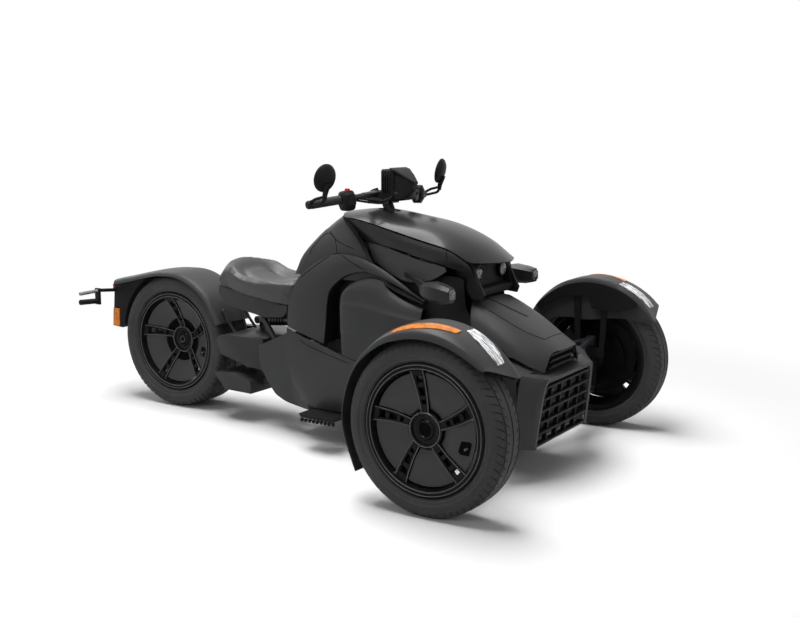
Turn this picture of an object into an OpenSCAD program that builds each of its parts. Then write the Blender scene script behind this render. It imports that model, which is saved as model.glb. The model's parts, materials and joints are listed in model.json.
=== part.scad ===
// Three-wheeled motorcycle: two steered front wheels, one rear wheel, single seat.
// X points forwards, Y to the rider's left, Z up, and Z = 0 is the ground.

/* [Wheels] */
// Distance from front axle to rear axle
wheelbase = 1709; // [1650:1:1780]
// Distance between the middles of the two front tyres
track = 1346; // [1300:1:1400]
// Outside diameter of a front tyre
front_tyre_d = 580; // [570:1:590]
// Section width of a front tyre
front_tyre_w = 145; // [135:1:150]
// Outside diameter of the rear tyre
rear_tyre_d = 591; // [580:1:600]
// Section width of the rear tyre
rear_tyre_w = 205; // [195:1:208]
// Bead seat diameter of all rims
rim_d = 406.4; // [400:0.1:412]
// Width between the flanges of a front rim
front_rim_w = 114; // [104:1:120]
// Width between the flanges of the rear rim
rear_rim_w = 165; // [155:1:170]
// Radius of every wheel spindle
spindle_r = 17.5; // [15:0.5:20]

/* [Front fenders] */
// Room between a front tyre and the underside of its fender
fender_room = 36; // [30:1:42]
// Angle of the fender's front end, from straight ahead
fender_front_angle = 37; // [34:1:44]
// Angle of the fender's rear end, from straight ahead
fender_rear_angle = 214; // [205:1:216]

/* [Steering] */
// Distance of the king pin inboard of the wheel's middle
king_pin_offset = 80; // [76:1:90]
// Length of the steering arm behind the king pin
steering_arm = 150; // [140:1:160]
// Lean of the steering column, back from upright
column_lean = 25; // [20:1:30]
// Radius of the handlebar tube
bar_r = 11; // [10:0.5:12.5]
// Height of the handlebar clamp
bar_z = 986; // [976:1:1000]

/* [Suspension] */
// Height of the lower arms
lower_arm_z = 165; // [160:1:175]
// Height of the upper arms
upper_arm_z = 370; // [360:1:380]
// Half the spread of an arm's inner pivots, along the vehicle
arm_spread = 85; // [75:1:90]
// Distance of the arms' inner pivots from the middle
arm_pivot_y = 190; // [182:1:196]
// Radius of the arms' tubes
arm_r = 12; // [10:0.5:14]

/* [Body] */
// Thickness of the body panels
panel_t = 4; // [3:0.5:5]
// Room between pieces that seat on each other
seat_gap = 0.3; // [0.2:0.1:0.5]
// Radius of the frame's lower rails
rail_r = 15; // [12:0.5:17]
// Height of the frame's lower rails
rail_z = 140; // [136:1:144]
// Thickness of the belly pan
belly_t = 6; // [4:1:8]
// Half the width of the seat base
seat_base_y = 125; // [110:1:130]
// Radius of the bar's grips
grip_r = 17; // [15:0.5:19]
// Radius of an auxiliary lamp's lens
pod_lens_r = 19; // [16:0.5:21]
// Radius of a headlamp lens
head_lens_r = 25; // [20:0.5:28]
// Number of slats in the grille
slat_count = 5; // [4:1:7]

/* [Rear] */
// Room between the rear tyre and its fender
rear_fender_room = 18; // [14:1:22]
// Half the width of the rear fender
rear_fender_y = 114; // [112:1:120]
// Spacing of the two plate bolts
plate_bolt_spacing = 146; // [120:1:160]
// Radius of the plate bolt holes
plate_bolt_r = 3.5; // [3:0.25:4]
// Bore through the rear axle, for a stand's pin
axle_bore_r = 9; // [7:0.5:10]

/* [Hidden] */
$fn = 48;

// Axles
front_x = 900;
rear_x = front_x - wheelbase;
front_r = front_tyre_d / 2;
rear_r = rear_tyre_d / 2;
wheel_y = track / 2;
king_y = wheel_y - king_pin_offset;
bead_r = rim_d / 2;
flange_h = 17.5;
flange_r = bead_r + flange_h;
fit = 0.3;

// The body's own coordinates have the front axle at this X
body_datum = 892;
body_shift = [front_x - body_datum, 0, 0];

// Points and curves
function unit(v) = v / norm(v);
function mix(a, b, t) = a + (b - a) * t;
function mirror_y(p) = [p[0], -p[1], p[2]];
function before(l, i) = i > 0 ? l[i - 1] : 2 * l[0] - l[1];
function after(l, i) = i < len(l) - 1 ? l[i + 1] : 2 * l[i] - l[i - 1];
function bend(a, b, c, d, t) =
    0.5 * (2 * b + (c - a) * t + (2 * a - 5 * b + 4 * c - d) * t * t + (3 * b - a - 3 * c + d) * t * t * t);
function smooth(l, n) = n == 1 ? l : [
    for (i = [0:len(l) - 2]) for (k = [0:n - 1])
        bend(before(l, i), l[i], l[i + 1], after(l, i + 1), k / n),
    l[len(l) - 1]
];
function column(g, j) = [for (row = g) row[j]];
function turned(g) = [for (j = [0:len(g[0]) - 1]) column(g, j)];
// A surface through a net of control points, with nu and nv steps in each span
function skin(net, nu, nv) =
    turned([for (c = turned([for (row = net) smooth(row, nv)])) smooth(c, nu)]);
// A rib from right to left, made from its left half, which starts on the middle
function right_to_left(half) = concat(
    [for (k = [len(half) - 1:-1:1]) mirror_y(half[k])],
    half
);
function left_to_right(half) = [for (p = right_to_left(half)) mirror_y(p)];
function on_body(net) = [for (row = net) [for (p = row) p + body_shift]];
function clamp_to(i, n) = max(0, min(n, i));
function normal_at(g, i, j) =
    let (
        n = len(g) - 1,
        m = len(g[0]) - 1,
        du = g[clamp_to(i + 1, n)][j] - g[clamp_to(i - 1, n)][j],
        dv = g[i][clamp_to(j + 1, m)] - g[i][clamp_to(j - 1, m)]
    ) unit(cross(du, dv));
function shifted(g, d) = [
    for (i = [0:len(g) - 1]) [for (j = [0:len(g[0]) - 1]) g[i][j] + d * normal_at(g, i, j)]
];
function joined(lists) = [for (l = lists) for (e = l) e];

// A closed solid between an outer grid of points and an inner one
module between(outer, inner) {
    n = len(outer) - 1;
    m = len(outer[0]) - 1;
    count = (n + 1) * (m + 1);
    function p(i, j) = i * (m + 1) + j;
    function q(i, j) = count + p(i, j);
    function quad(a, b, c, d) = [[a, b, c], [a, c, d]];
    faces = concat(
        [for (i = [0:n - 1]) for (j = [0:m - 1])
            each quad(p(i, j), p(i, j + 1), p(i + 1, j + 1), p(i + 1, j))],
        [for (i = [0:n - 1]) for (j = [0:m - 1])
            each quad(q(i, j), q(i + 1, j), q(i + 1, j + 1), q(i, j + 1))],
        [for (j = [0:m - 1]) each quad(p(0, j + 1), p(0, j), q(0, j), q(0, j + 1))],
        [for (j = [0:m - 1]) each quad(p(n, j), p(n, j + 1), q(n, j + 1), q(n, j))],
        [for (i = [0:n - 1]) each quad(p(i, 0), p(i + 1, 0), q(i + 1, 0), q(i, 0))],
        [for (i = [0:n - 1]) each quad(p(i + 1, m), p(i, m), q(i, m), q(i + 1, m))]
    );
    polyhedron(points = concat(joined(outer), joined(inner)), faces = faces, convexity = 8);
}

// A panel of even thickness, inside its outer grid
module panel(grid, t = panel_t) {
    between(grid, shifted(grid, -t));
}

module both_sides() {
    children();
    mirror([0, 1, 0]) children();
}

// A round bar from a to b
module rod(a, b, r) {
    d = b - a;
    translate(a)
        rotate([0, acos(d[2] / norm(d)), atan2(d[1], d[0])])
            cylinder(r = r, h = norm(d));
}

// Round bars through a list of points, run a little past each bend, every second one a sleeve over the next
sleeve = 1.5;
module pipe(points, r) {
    last = len(points) - 2;
    for (k = [0:last]) {
        past = unit(points[k + 1] - points[k]) * r * 0.3;
        start = points[k] - (k > 0 ? past : past * 0);
        end = points[k + 1] + (k < last ? past : past * 0);
        rod(start, end, r + (k % 2) * sleeve);
    }
}

// An outline in X and Z, from y0 to y1
module slab(outline, y0, y1) {
    translate([0, y1, 0])
        rotate([90, 0, 0])
            linear_extrude(y1 - y0) polygon(outline);
}

// A bar along Y, X or Z from its middle
module bar_y(at, r, h) {
    translate(at) rotate([90, 0, 0]) cylinder(r = r, h = h, center = true);
}
module bar_x(at, r, h) {
    translate(at) rotate([0, 90, 0]) cylinder(r = r, h = h, center = true);
}
module bar_z_at(at, r, h) {
    translate(at) cylinder(r = r, h = h, center = true);
}

// A profile of [width, radius] points, turned about the wheel's own axis, +Y outboard
module turned_about_y(profile) {
    rotate([-90, 0, 0])
        rotate_extrude($fn = 96) polygon([for (p = profile) [p[1], p[0]]]);
}

// Places a wheel, knuckle or fender made with its outboard face towards +Y
module at_wheel(name) {
    if (name == "left") translate([front_x, wheel_y, front_r]) children();
    if (name == "right") translate([front_x, -wheel_y, front_r]) mirror([0, 1, 0]) children();
    if (name == "rear") translate([rear_x, 0, rear_r]) mirror([0, 1, 0]) children();
}

// Body surfaces
panel_steps = 3;

hood_net = on_body([for (half = [
    [[130, 0, 915], [135, 70, 914], [155, 130, 908], [182, 162, 899]],
    [[250, 0, 926], [250, 80, 921], [258, 145, 908], [270, 176, 892]],
    [[404, 0, 904], [404, 85, 900], [410, 155, 882], [415, 188, 862]],
    [[540, 0, 882], [540, 85, 877], [545, 155, 856], [550, 186, 829]],
    [[687, 0, 829], [680, 80, 826], [668, 140, 812], [655, 178, 803]],
    [[813, 0, 751], [795, 70, 752], [765, 125, 754], [729, 157, 756]]
]) right_to_left(half)]);
hood_grid = skin(hood_net, panel_steps, 2);

hood_side_net = on_body([
    [[190, 163, 893], [225, 166, 858], [272, 168, 820]],
    [[290, 178, 884], [300, 182, 850], [312, 176, 813]],
    [[415, 188, 855], [425, 193, 825], [432, 186, 790]],
    [[550, 186, 822], [556, 190, 795], [560, 182, 760]],
    [[655, 178, 796], [660, 180, 772], [662, 172, 735]],
    [[727, 157, 750], [738, 153, 730], [746, 148, 706]]
]);
hood_side_grid = skin(hood_side_net, panel_steps, 2);

flank_net = on_body([
    [[300, 176, 808], [316, 181, 776], [330, 184, 745]],
    [[375, 184, 799], [390, 192, 752], [405, 196, 705]],
    [[470, 187, 774], [485, 196, 725], [500, 202, 674]],
    [[560, 182, 755], [575, 190, 722], [595, 196, 688]],
    [[640, 174, 735], [643, 176, 729], [648, 178, 722]]
]);
flank_grid = skin(flank_net, panel_steps, 2);

tank_net = on_body([for (half = [
    [[128, 0, 906], [140, 90, 905], [158, 138, 900], [172, 156, 895], [188, 164, 889]],
    [[78, 0, 850], [86, 95, 853], [105, 160, 857], [180, 178, 850], [258, 182, 836]],
    [[22, 0, 785], [30, 100, 788], [52, 184, 800], [180, 200, 796], [306, 198, 782]],
    [[-43, 0, 715], [-38, 105, 718], [2, 198, 738], [180, 209, 735], [352, 206, 722]],
    [[-93, 0, 655], [-88, 105, 656], [-28, 202, 668], [180, 211, 664], [416, 208, 660]]
]) left_to_right(half)]);
tank_grid = skin(tank_net, panel_steps, 2);

arch_net = on_body([
    [[-64, 214, 456], [-15, 224, 444], [60, 227, 424], [122, 222, 406]],
    [[-60, 216, 520], [-10, 226, 512], [70, 229, 500], [132, 222, 490]],
    [[-42, 216, 592], [10, 226, 584], [80, 230, 572], [138, 222, 560]],
    [[0, 215, 664], [45, 226, 650], [100, 230, 634], [152, 222, 616]],
    [[80, 215, 722], [110, 225, 704], [155, 230, 682], [196, 222, 660]],
    [[180, 215, 763], [196, 225, 742], [220, 230, 716], [246, 222, 688]],
    [[300, 215, 752], [304, 224, 738], [312, 228, 718], [322, 222, 700]],
    [[400, 213, 712], [402, 220, 702], [406, 223, 690], [410, 218, 676]],
    [[480, 208, 664], [482, 213, 658], [486, 214, 650], [490, 210, 642]],
    [[565, 200, 612], [566, 203, 609], [567, 204, 606], [568, 202, 603]]
]);
arch_grid = skin([for (row = arch_net) [for (k = [0:3]) row[k]]], 2, 2);

sill_net = on_body([
    [[-66, 216, 450], [-60, 232, 330], [-20, 238, 230], [18, 232, 168]],
    [[30, 228, 420], [38, 250, 300], [52, 256, 220], [70, 250, 158]],
    [[125, 232, 398], [130, 260, 285], [136, 264, 210], [142, 254, 153]],
    [[230, 240, 370], [233, 266, 265], [234, 268, 200], [232, 254, 150]],
    [[330, 246, 345], [338, 266, 250], [340, 266, 195], [338, 250, 150]],
    [[450, 244, 322], [455, 256, 240], [455, 254, 190], [450, 240, 150]],
    [[560, 226, 298], [565, 230, 225], [565, 228, 185], [560, 220, 150]]
]);
sill_grid = skin(sill_net, 2, 2);

engine_cover_net = on_body([
    [[214, 222, 660], [226, 236, 572], [229, 244, 466], [212, 236, 388]],
    [[330, 230, 622], [335, 246, 542], [335, 250, 442], [335, 246, 360]],
    [[450, 230, 583], [450, 244, 506], [450, 247, 416], [452, 240, 338]],
    [[565, 214, 545], [570, 225, 470], [570, 226, 390], [565, 220, 314]]
]);
engine_cover_grid = skin(engine_cover_net, panel_steps, 2);

rear_cover_net = on_body([
    [[-246, 176, 352], [-236, 182, 268], [-166, 178, 160]],
    [[-135, 178, 402], [-148, 190, 282], [-110, 180, 136]],
    [[-75, 182, 428], [-72, 196, 290], [-50, 180, 124]],
    [[-22, 200, 424], [-2, 210, 280], [30, 204, 122]]
]);
rear_cover_grid = skin(rear_cover_net, panel_steps, 3);

nose_net = on_body([for (half = [
    [[716, 0, 618], [716, 70, 617], [722, 117, 608], [748, 174, 552], [765, 190, 486]],
    [[766, 0, 612], [766, 70, 611], [772, 119, 602], [792, 176, 540], [805, 190, 470]],
    [[870, 0, 562], [870, 62, 560], [882, 116, 546], [900, 176, 490], [910, 190, 440]],
    [[965, 0, 510], [965, 60, 508], [968, 106, 496], [976, 158, 450], [982, 176, 410]],
    [[1058, 0, 456], [1055, 60, 455], [1040, 101, 452], [1036, 128, 416], [1032, 142, 382]]
]) right_to_left(half)]);
nose_grid = skin(nose_net, panel_steps, 2);

// Side panels, from the engine covers into the nose cowl
side_panel_net = on_body([
    [[400, 160, 690], [400, 170, 650], [400, 178, 600], [400, 182, 550], [400, 184, 510]],
    [[500, 160, 676], [500, 172, 640], [500, 180, 590], [500, 184, 540], [500, 186, 490]],
    [[600, 156, 700], [600, 168, 640], [600, 176, 580], [600, 180, 510], [600, 182, 400]],
    [[680, 152, 700], [680, 160, 634], [680, 164, 575], [682, 168, 500], [684, 172, 380]],
    [[706, 152, 690], [712, 154, 622], [722, 152, 575], [765, 152, 520], [780, 160, 462]]
]);
side_panel_grid = skin(side_panel_net, panel_steps, 2);

// Fascia: a hood over the grille, drawn from right foot to left foot, back to front
fascia_net = on_body([
    [[1000, -280, 130], [1000, -298, 262], [1002, -268, 392], [1010, -160, 378], [1012, 0, 378],
     [1010, 160, 378], [1002, 268, 392], [1000, 298, 262], [1000, 280, 130]],
    [[1037, -222, 120], [1052, -218, 245], [1067, -204, 362], [1070, -150, 372], [1074, 0, 374],
     [1070, 150, 372], [1067, 204, 362], [1052, 218, 245], [1037, 222, 120]],
    [[1036, -206, 120], [1050, -202, 243], [1063, -188, 348], [1066, -142, 356], [1069, 0, 358],
     [1066, 142, 356], [1063, 188, 348], [1050, 202, 243], [1036, 206, 120]]
]);
fascia_grid = skin(fascia_net, 1, 2);

// Seat
seat_slope = (590 - 512) / (563 - 105);
function seat_floor(x) = 512 + (-105 - (x - body_shift[0])) * seat_slope;
base_slope = (502 - 459) / (500 - 252);
function base_underside(x) = 459 + (-252 - x) * base_slope;

// Frame
bulkhead_t = 8;
bulkhead_x = [front_x - arm_spread - 20, front_x + arm_spread + 20];
bulkhead_back = bulkhead_x[0] - bulkhead_t / 2 - seat_gap;
upper_tube_r = 16;
arm_pin_r = 8;
rail_y = 172;
front_rail_y = 140;
rear_rail_y = 112;
stay_tip = 8;
stay_r = 6;
pivot_x = -165;
pivot_z = 300;
pivot_r = 22;
head_point = [318, 0, 850] + body_shift;
column_dir = [-sin(column_lean), 0, cos(column_lean)];
bar_centre = head_point + column_dir * ((bar_z - head_point[2]) / cos(column_lean));
stem_r = 21;
head_tube_r = 32;
shock_top = [front_x, 140, 425];
shock_foot = [front_x, king_y - 120, lower_arm_z + arm_r + 8];
shock_pin_r = 9;
shock_eye_r = 17;
shock_eye_w = 30;
rear_shock_back = [-432, 60, 408];
rear_shock_front = [-205, 60, 425];
strut_ball_r = 14;
strut_x = -272;
seat_strut = [
    strut_x, 100, base_underside(strut_x) - (strut_ball_r + seat_gap) * sqrt(1 + base_slope * base_slope)
];
engine_y = 145;
engine_top_y = 120;
engine_deck_z = 408;
engine_lug_x = [335, 580];

// A bar from the frame to a panel's inside, with a ball tip just clear of it
module stay(grid, i, j, from, t = panel_t) {
    tip = grid[i][j] - normal_at(grid, i, j) * (t + seat_gap + stay_tip);
    rod(from, tip, stay_r);
    translate(tip) sphere(r = stay_tip);
}

module bulkhead(x, top) {
    side = arm_pivot_y + 14;
    translate([x - bulkhead_t / 2, 0, 0])
        rotate([90, 0, 90])
            linear_extrude(bulkhead_t)
                difference() {
                    polygon([
                        [-front_rail_y, rail_z - rail_r], [front_rail_y, rail_z - rail_r],
                        [side, lower_arm_z - 18], [side, lower_arm_z + 22], [150, lower_arm_z + 70],
                        [150, upper_arm_z - 60], [side, upper_arm_z - 22], [side, upper_arm_z + 18],
                        [150, top], [-150, top],
                        [-side, upper_arm_z + 18], [-side, upper_arm_z - 22], [-150, upper_arm_z - 60],
                        [-150, lower_arm_z + 70], [-side, lower_arm_z + 22], [-side, lower_arm_z - 18]
                    ]);
                    translate([0, (lower_arm_z + upper_arm_z) / 2]) circle(r = 90);
                }
}

module frame_tubes() {
    both_sides() {
        pipe([
            [pivot_x, rear_rail_y, pivot_z], [-130, rear_rail_y, rail_z], [40, rail_y, rail_z], [600, rail_y, rail_z],
            [690, front_rail_y, rail_z], [bulkhead_back, front_rail_y, rail_z]
        ], rail_r);
        pipe([
            [bulkhead_back - upper_tube_r * 0.75, 110, upper_arm_z + 60], [560, 90, 680], head_point + [20, 26, -30]
        ], upper_tube_r);
    }
    pipe([
        head_point + [-10, 0, -20], [60, 0, 620], [-130, 0, 440], [pivot_x, 0, pivot_z]
    ], 24);
    bar_y([pivot_x, 0, pivot_z], pivot_r, 2 * rear_rail_y + 44);
    rod(head_point - column_dir * 70, head_point + column_dir * 40, head_tube_r);
}

module frame_stays() {
    both_sides() {
        stay(hood_grid, 6, 9, [560, 90, 680]);
        stay(hood_side_grid, 8, 2, [560, 90, 680]);
        stay(flank_grid, 6, 2, [560, 90, 680]);
        stay(tank_grid, 6, 2, [60, 0, 620]);
        stay(arch_grid, 2, 2, [-130, 0, 440]);
        stay(engine_cover_grid, 6, 3, [600, rail_y, rail_z]);
        stay(sill_grid, 6, 3, [200, rail_y, rail_z]);
        stay(rear_cover_grid, 6, 3, [pivot_x, rear_rail_y, pivot_z]);
        rod([pivot_x, 105, pivot_z], seat_strut, 13);
        translate(seat_strut) sphere(r = strut_ball_r);
        for (x = engine_lug_x)
            translate([x - 15, engine_y + seat_gap, rail_z - 5]) cube([30, rail_y - engine_y, 55]);
    }
}

module frame() {
    color("#1c1d1f")
        difference() {
            union() {
                frame_tubes();
                frame_stays();
                rod(mix([pivot_x, 105, pivot_z], seat_strut, 0.8), rear_shock_front + [0, 30, 0], 10);
                rod(rear_shock_front + [0, 32, 0], rear_shock_front - [0, 20, 0], shock_pin_r);
            }
            rod(head_point - column_dir * 80, head_point + column_dir * 60, stem_r + fit);
        }
}

module subframe() {
    color("#202124") {
        bulkhead(bulkhead_x[0], shock_top[2] + 18);
        bulkhead(bulkhead_x[1], upper_arm_z + 20);
        both_sides() {
            rod([bulkhead_x[0], front_rail_y, rail_z], [bulkhead_x[1], front_rail_y, rail_z], rail_r);
            stay(nose_grid, 7, 5, [bulkhead_x[0], 110, upper_arm_z + 50]);
            stay(side_panel_grid, 10, 6, [bulkhead_x[0], 140, upper_arm_z + 30]);
            stay(fascia_grid, 0, 15, [bulkhead_x[1], arm_pivot_y + 5, lower_arm_z + 7]);
            for (z = [lower_arm_z, upper_arm_z]) {
                for (s = [0, 1])
                    bar_x([bulkhead_x[s] + (s == 0 ? 20 : -20), arm_pivot_y, z], arm_pin_r, 40);
            }
            rod([bulkhead_x[0], shock_top[1], shock_top[2]], shock_top + [20, 0, 0], shock_pin_r);
        }
    }
}

module engine() {
    color("#2a2b2d") {
        translate([90, -engine_y, 158]) cube([510, 2 * engine_y, engine_deck_z - 158]);
        slab([
            [150, engine_deck_z - 1], [520, engine_deck_z - 1], [480, 560], [230, 560]
        ], -engine_top_y, engine_top_y);
        for (x = [200, 470]) bar_y([x, 0, 270], 100, 330);
    }
}

module engine_covers() {
    color("#4a4b4d") both_sides() panel(engine_cover_grid);
}

module belly_pan() {
    top = rail_z - rail_r - sleeve - seat_gap;
    color("#202123")
        translate([-60, 0, top - belly_t])
            linear_extrude(belly_t)
                polygon([
                    [0, -150], [120, -190], [900, -190], [1060, -150], [1060, 150], [900, 190], [120, 190], [0, 150]
                ]);
}

module hood() {
    color("#343537")
        difference() {
            panel(hood_grid);
            rod(head_point, head_point + column_dir * 120, head_tube_r + 8);
        }
}

module side_panels() {
    color("#1d1e20") both_sides() panel(side_panel_grid);
}

// Plates beside the engine, behind the open arches
inner_panel_t = 6;
module inner_panels() {
    face = engine_top_y + seat_gap;
    floor_z = engine_deck_z + seat_gap;
    color("#18191b")
        both_sides()
            slab([
                [52, floor_z], [360, floor_z], [430, 560], [400, 640], [330, 690], [150, 690], [60, 640], [40, 540]
            ], face, face + inner_panel_t);
}

module hood_sides() {
    color("#232426") both_sides() panel(hood_side_grid);
}

module flanks() {
    color("#3c3d3f") both_sides() panel(flank_grid);
}

module tank_cover() {
    color("#46474a") panel(tank_grid);
}

module arch_panels() {
    color("#3a3b3d") both_sides() panel(arch_grid);
}

module sills() {
    color("#3e3f41") both_sides() panel(sill_grid);
}

module rear_covers() {
    color("#3a3b3d") both_sides() panel(rear_cover_grid);
}

// Lamps
head_lens = [735, 95, 711] + body_shift;
head_face_x = head_lens[0] - 10;
fin_y = [130, 142];

module headlamp_housing() {
    color("#161719")
        difference() {
            union() {
                slab([
                    [head_face_x - 60, 640], [head_face_x + 30, 628], [head_face_x + 36, 650],
                    [head_face_x + 12, 742], [head_face_x - 60, 745]
                ], -fin_y[0] - 1, fin_y[0] + 1);
                stay(hood_grid, 13, 6, [head_face_x - 40, 0, 700]);
                both_sides()
                    slab([
                        [head_face_x - 40, 748], [head_face_x + 6, 746], [head_face_x + 60, 640],
                        [head_face_x + 52, 618], [head_face_x + 10, 622], [head_face_x - 40, 690]
                    ], fin_y[0], fin_y[1]);
            }
            slab([
                [head_face_x, 662], [head_face_x + 60, 650], [head_face_x + 60, 760], [head_face_x, 736]
            ], -fin_y[0] + 8, fin_y[0] - 8);
            both_sides()
                bar_x([head_lens[0], head_lens[1], head_lens[2]], head_lens_r + fit, 40);
        }
}

pod_lens = [756, 326, 661] + body_shift;
pod_back = [648, 306, 664] + body_shift;
pod_stalk_r = 9;

module lamp_lenses() {
    color("#d9dde2") both_sides() {
        translate([head_lens[0] - 10 - fit, head_lens[1], head_lens[2]])
            rotate([0, 90, 0]) cylinder(r1 = head_lens_r, r2 = head_lens_r - 4, h = 12);
        translate([pod_lens[0] + seat_gap, pod_lens[1], pod_lens[2]])
            rotate([0, 90, 0]) cylinder(r1 = pod_lens_r, r2 = pod_lens_r - 6, h = 12);
    }
}

module lamp_pods() {
    root = flank_grid[6][3] + normal_at(flank_grid, 6, 3) * (seat_gap + pod_stalk_r);
    color("#141516") both_sides() {
        hull() {
            translate(pod_lens - [14, 0, 0]) rotate([0, 90, 0]) cylinder(r = pod_lens_r + 6, h = 14, $fn = 32);
            translate(pod_back) rotate([0, 90, 0]) cylinder(r = 12, h = 10, $fn = 32);
        }
        hull() {
            translate(pod_back + [6, 0, 0]) sphere(r = 10, $fn = 16);
            translate(root) sphere(r = pod_stalk_r, $fn = 16);
        }
    }
}

module nose_cowl() {
    color("#3a3b3d") panel(nose_grid);
}

module fascia() {
    color("#303133") panel(fascia_grid);
}

// Grille: slats between the fascia's side walls
grille_z = [132, 340];
slat_t = 8;
function fascia_inner_y(z) = z < 243 ? mix(206, 202, (z - 120) / 123) : mix(202, 188, (z - 243) / 105);
function grille_x(z) = mix(1024, 1050, (z - 120) / 228) + body_shift[0];

module grille() {
    color("#1f2022") {
        for (k = [0:slat_count]) {
            z = mix(grille_z[0], grille_z[1], k / slat_count);
            half = fascia_inner_y(z + slat_t / 2) - seat_gap;
            translate([grille_x(z) - 12, -half, z - slat_t / 2]) cube([24, 2 * half, slat_t]);
        }
        for (y = [-120, -40, 40, 120])
            slab([
                [grille_x(grille_z[0]) - 10, grille_z[0]], [grille_x(grille_z[0]) + 6, grille_z[0]],
                [grille_x(grille_z[1]) + 6, grille_z[1]], [grille_x(grille_z[1]) - 10, grille_z[1]]
            ], y - 4, y + 4);
    }
}

module radiator() {
    x0 = bulkhead_x[1] + bulkhead_t / 2 + seat_gap;
    color("#3b3d40")
        translate([x0, -170, rail_z + rail_r + 5]) cube([14, 340, 185]);
}

seat_net = on_body([for (half = [
    [[-520, 0, 622], [-515, 80, 620], [-498, 142, 614]],
    [[-482, 0, 678], [-472, 84, 672], [-448, 156, 650]],
    [[-434, 0, 672], [-426, 92, 664], [-403, 172, 644]],
    [[-374, 0, 620], [-367, 92, 618], [-350, 180, 622]],
    [[-285, 0, 600], [-280, 92, 602], [-275, 178, 612]],
    [[-195, 0, 606], [-192, 85, 607], [-190, 160, 610]],
    [[-110, 0, 622], [-108, 70, 621], [-106, 118, 616]]
]) right_to_left(half)]);
seat_grid = skin(seat_net, 2, 2);

module seat() {
    floor_grid = [for (row = seat_grid) [for (p = row) [p[0], p[1] * 0.9, seat_floor(p[0])]]];
    color("#1b1b1c") between(seat_grid, floor_grid);
}

module seat_base() {
    function under(x) = [x, seat_floor(x) - seat_gap];
    color("#37383a")
        slab([
            under(-500), under(-130), [-132, 486], [-160, 466], [-252, base_underside(-252)],
            [-470, base_underside(-470)], [-502, 540]
        ], -seat_base_y, seat_base_y);
}

// Rear
fender_in = rear_r + rear_fender_room;
fender_out = fender_in + panel_t;

function rear_rib(mid, side_drop, half_w, dir) = [
    mid, mid + [0, half_w * 0.55, 0] - dir * 2, mid + [0, half_w * 0.9, 0] - dir * 8,
    mid + [0, half_w, 0] - dir * side_drop
];
function round_rib(a, half_w) =
    let (dir = [cos(a), 0, sin(a)])
    rear_rib([rear_x, 0, rear_r] + dir * (fender_out + 2), 24, half_w, dir);
rear_fender_net = [for (half = [
    round_rib(20, rear_fender_y), round_rib(48, rear_fender_y), round_rib(76, rear_fender_y),
    round_rib(98, rear_fender_y),
    rear_rib([rear_x - 120, 0, rear_r + 308], 26, rear_fender_y - 2, [-0.25, 0, 0.97]),
    rear_rib([rear_x - 285, 0, rear_r + 272], 28, rear_fender_y - 10, [-0.2, 0, 0.98]),
    rear_rib([rear_x - 366, 0, rear_r + 255], 26, rear_fender_y - 20, [-0.2, 0, 0.98])
]) left_to_right(half)];
rear_fender_grid = skin(rear_fender_net, panel_steps, 2);

module rear_fender() {
    color("#38393b") panel(rear_fender_grid);
}

bracket_y = 84;
lamp_plane_x = rear_x - 368;

module tail_bracket() {
    color("#141516")
        difference() {
            union() {
                slab([
                    [rear_x - 160, rear_r + 274], [rear_x - 280, rear_r + 252], [lamp_plane_x, rear_r + 232],
                    [lamp_plane_x, rear_r + 190], [rear_x - 375, rear_r + 110], [rear_x - 380, rear_r + 34],
                    [rear_x - 322, rear_r + 30], [rear_x - 200, rear_r + 200]
                ], -bracket_y, bracket_y);
                stay(rear_fender_grid, 16, 6, [rear_x - 320, 0, rear_r + 215]);
                both_sides() {
                    rod([rear_x - 366, bracket_y - 2, rear_r + 202], [rear_x - 366, 185, rear_r + 212], 8);
                    slab([
                        [rear_x - 380, rear_r + 148], [rear_x - 352, rear_r + 148],
                        [rear_x - 352, rear_r + 222], [rear_x - 380, rear_r + 222]
                    ], 180, 190);
                    rod([rear_x - 366, 184, rear_r + 164], [rear_x - 366, 288, rear_r + 170], 12);
                }
            }
            bar_y([rear_x, 0, rear_r], fender_in, 2 * bracket_y + 10, $fn = 192);
            for (s = [-1, 1])
                bar_x([rear_x - 370, s * plate_bolt_spacing / 2, rear_r + 80], plate_bolt_r, 60);
        }
}

module tail_lamp() {
    color("#a3161a")
        translate([lamp_plane_x - 12 - seat_gap, -bracket_y + 4, rear_r + 196])
            cube([12, 2 * bracket_y - 8, 32]);
}

module rear_indicators() {
    color("#b9bdc2") both_sides()
        rod([rear_x - 366, 190 + seat_gap, rear_r + 210], [rear_x - 366, 288, rear_r + 208], 8);
}

module rear_reflectors() {
    color("#e07a16") both_sides()
        slab([
            [rear_x - 378, rear_r + 36], [rear_x - 340, rear_r + 36],
            [rear_x - 334, rear_r + 118], [rear_x - 372, rear_r + 118]
        ], bracket_y + seat_gap, bracket_y + 6);
}

arm_y = [120, 166];
bracket_pad = [rear_x - 330, bracket_y + seat_gap + 10, rear_r + 150];

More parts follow.
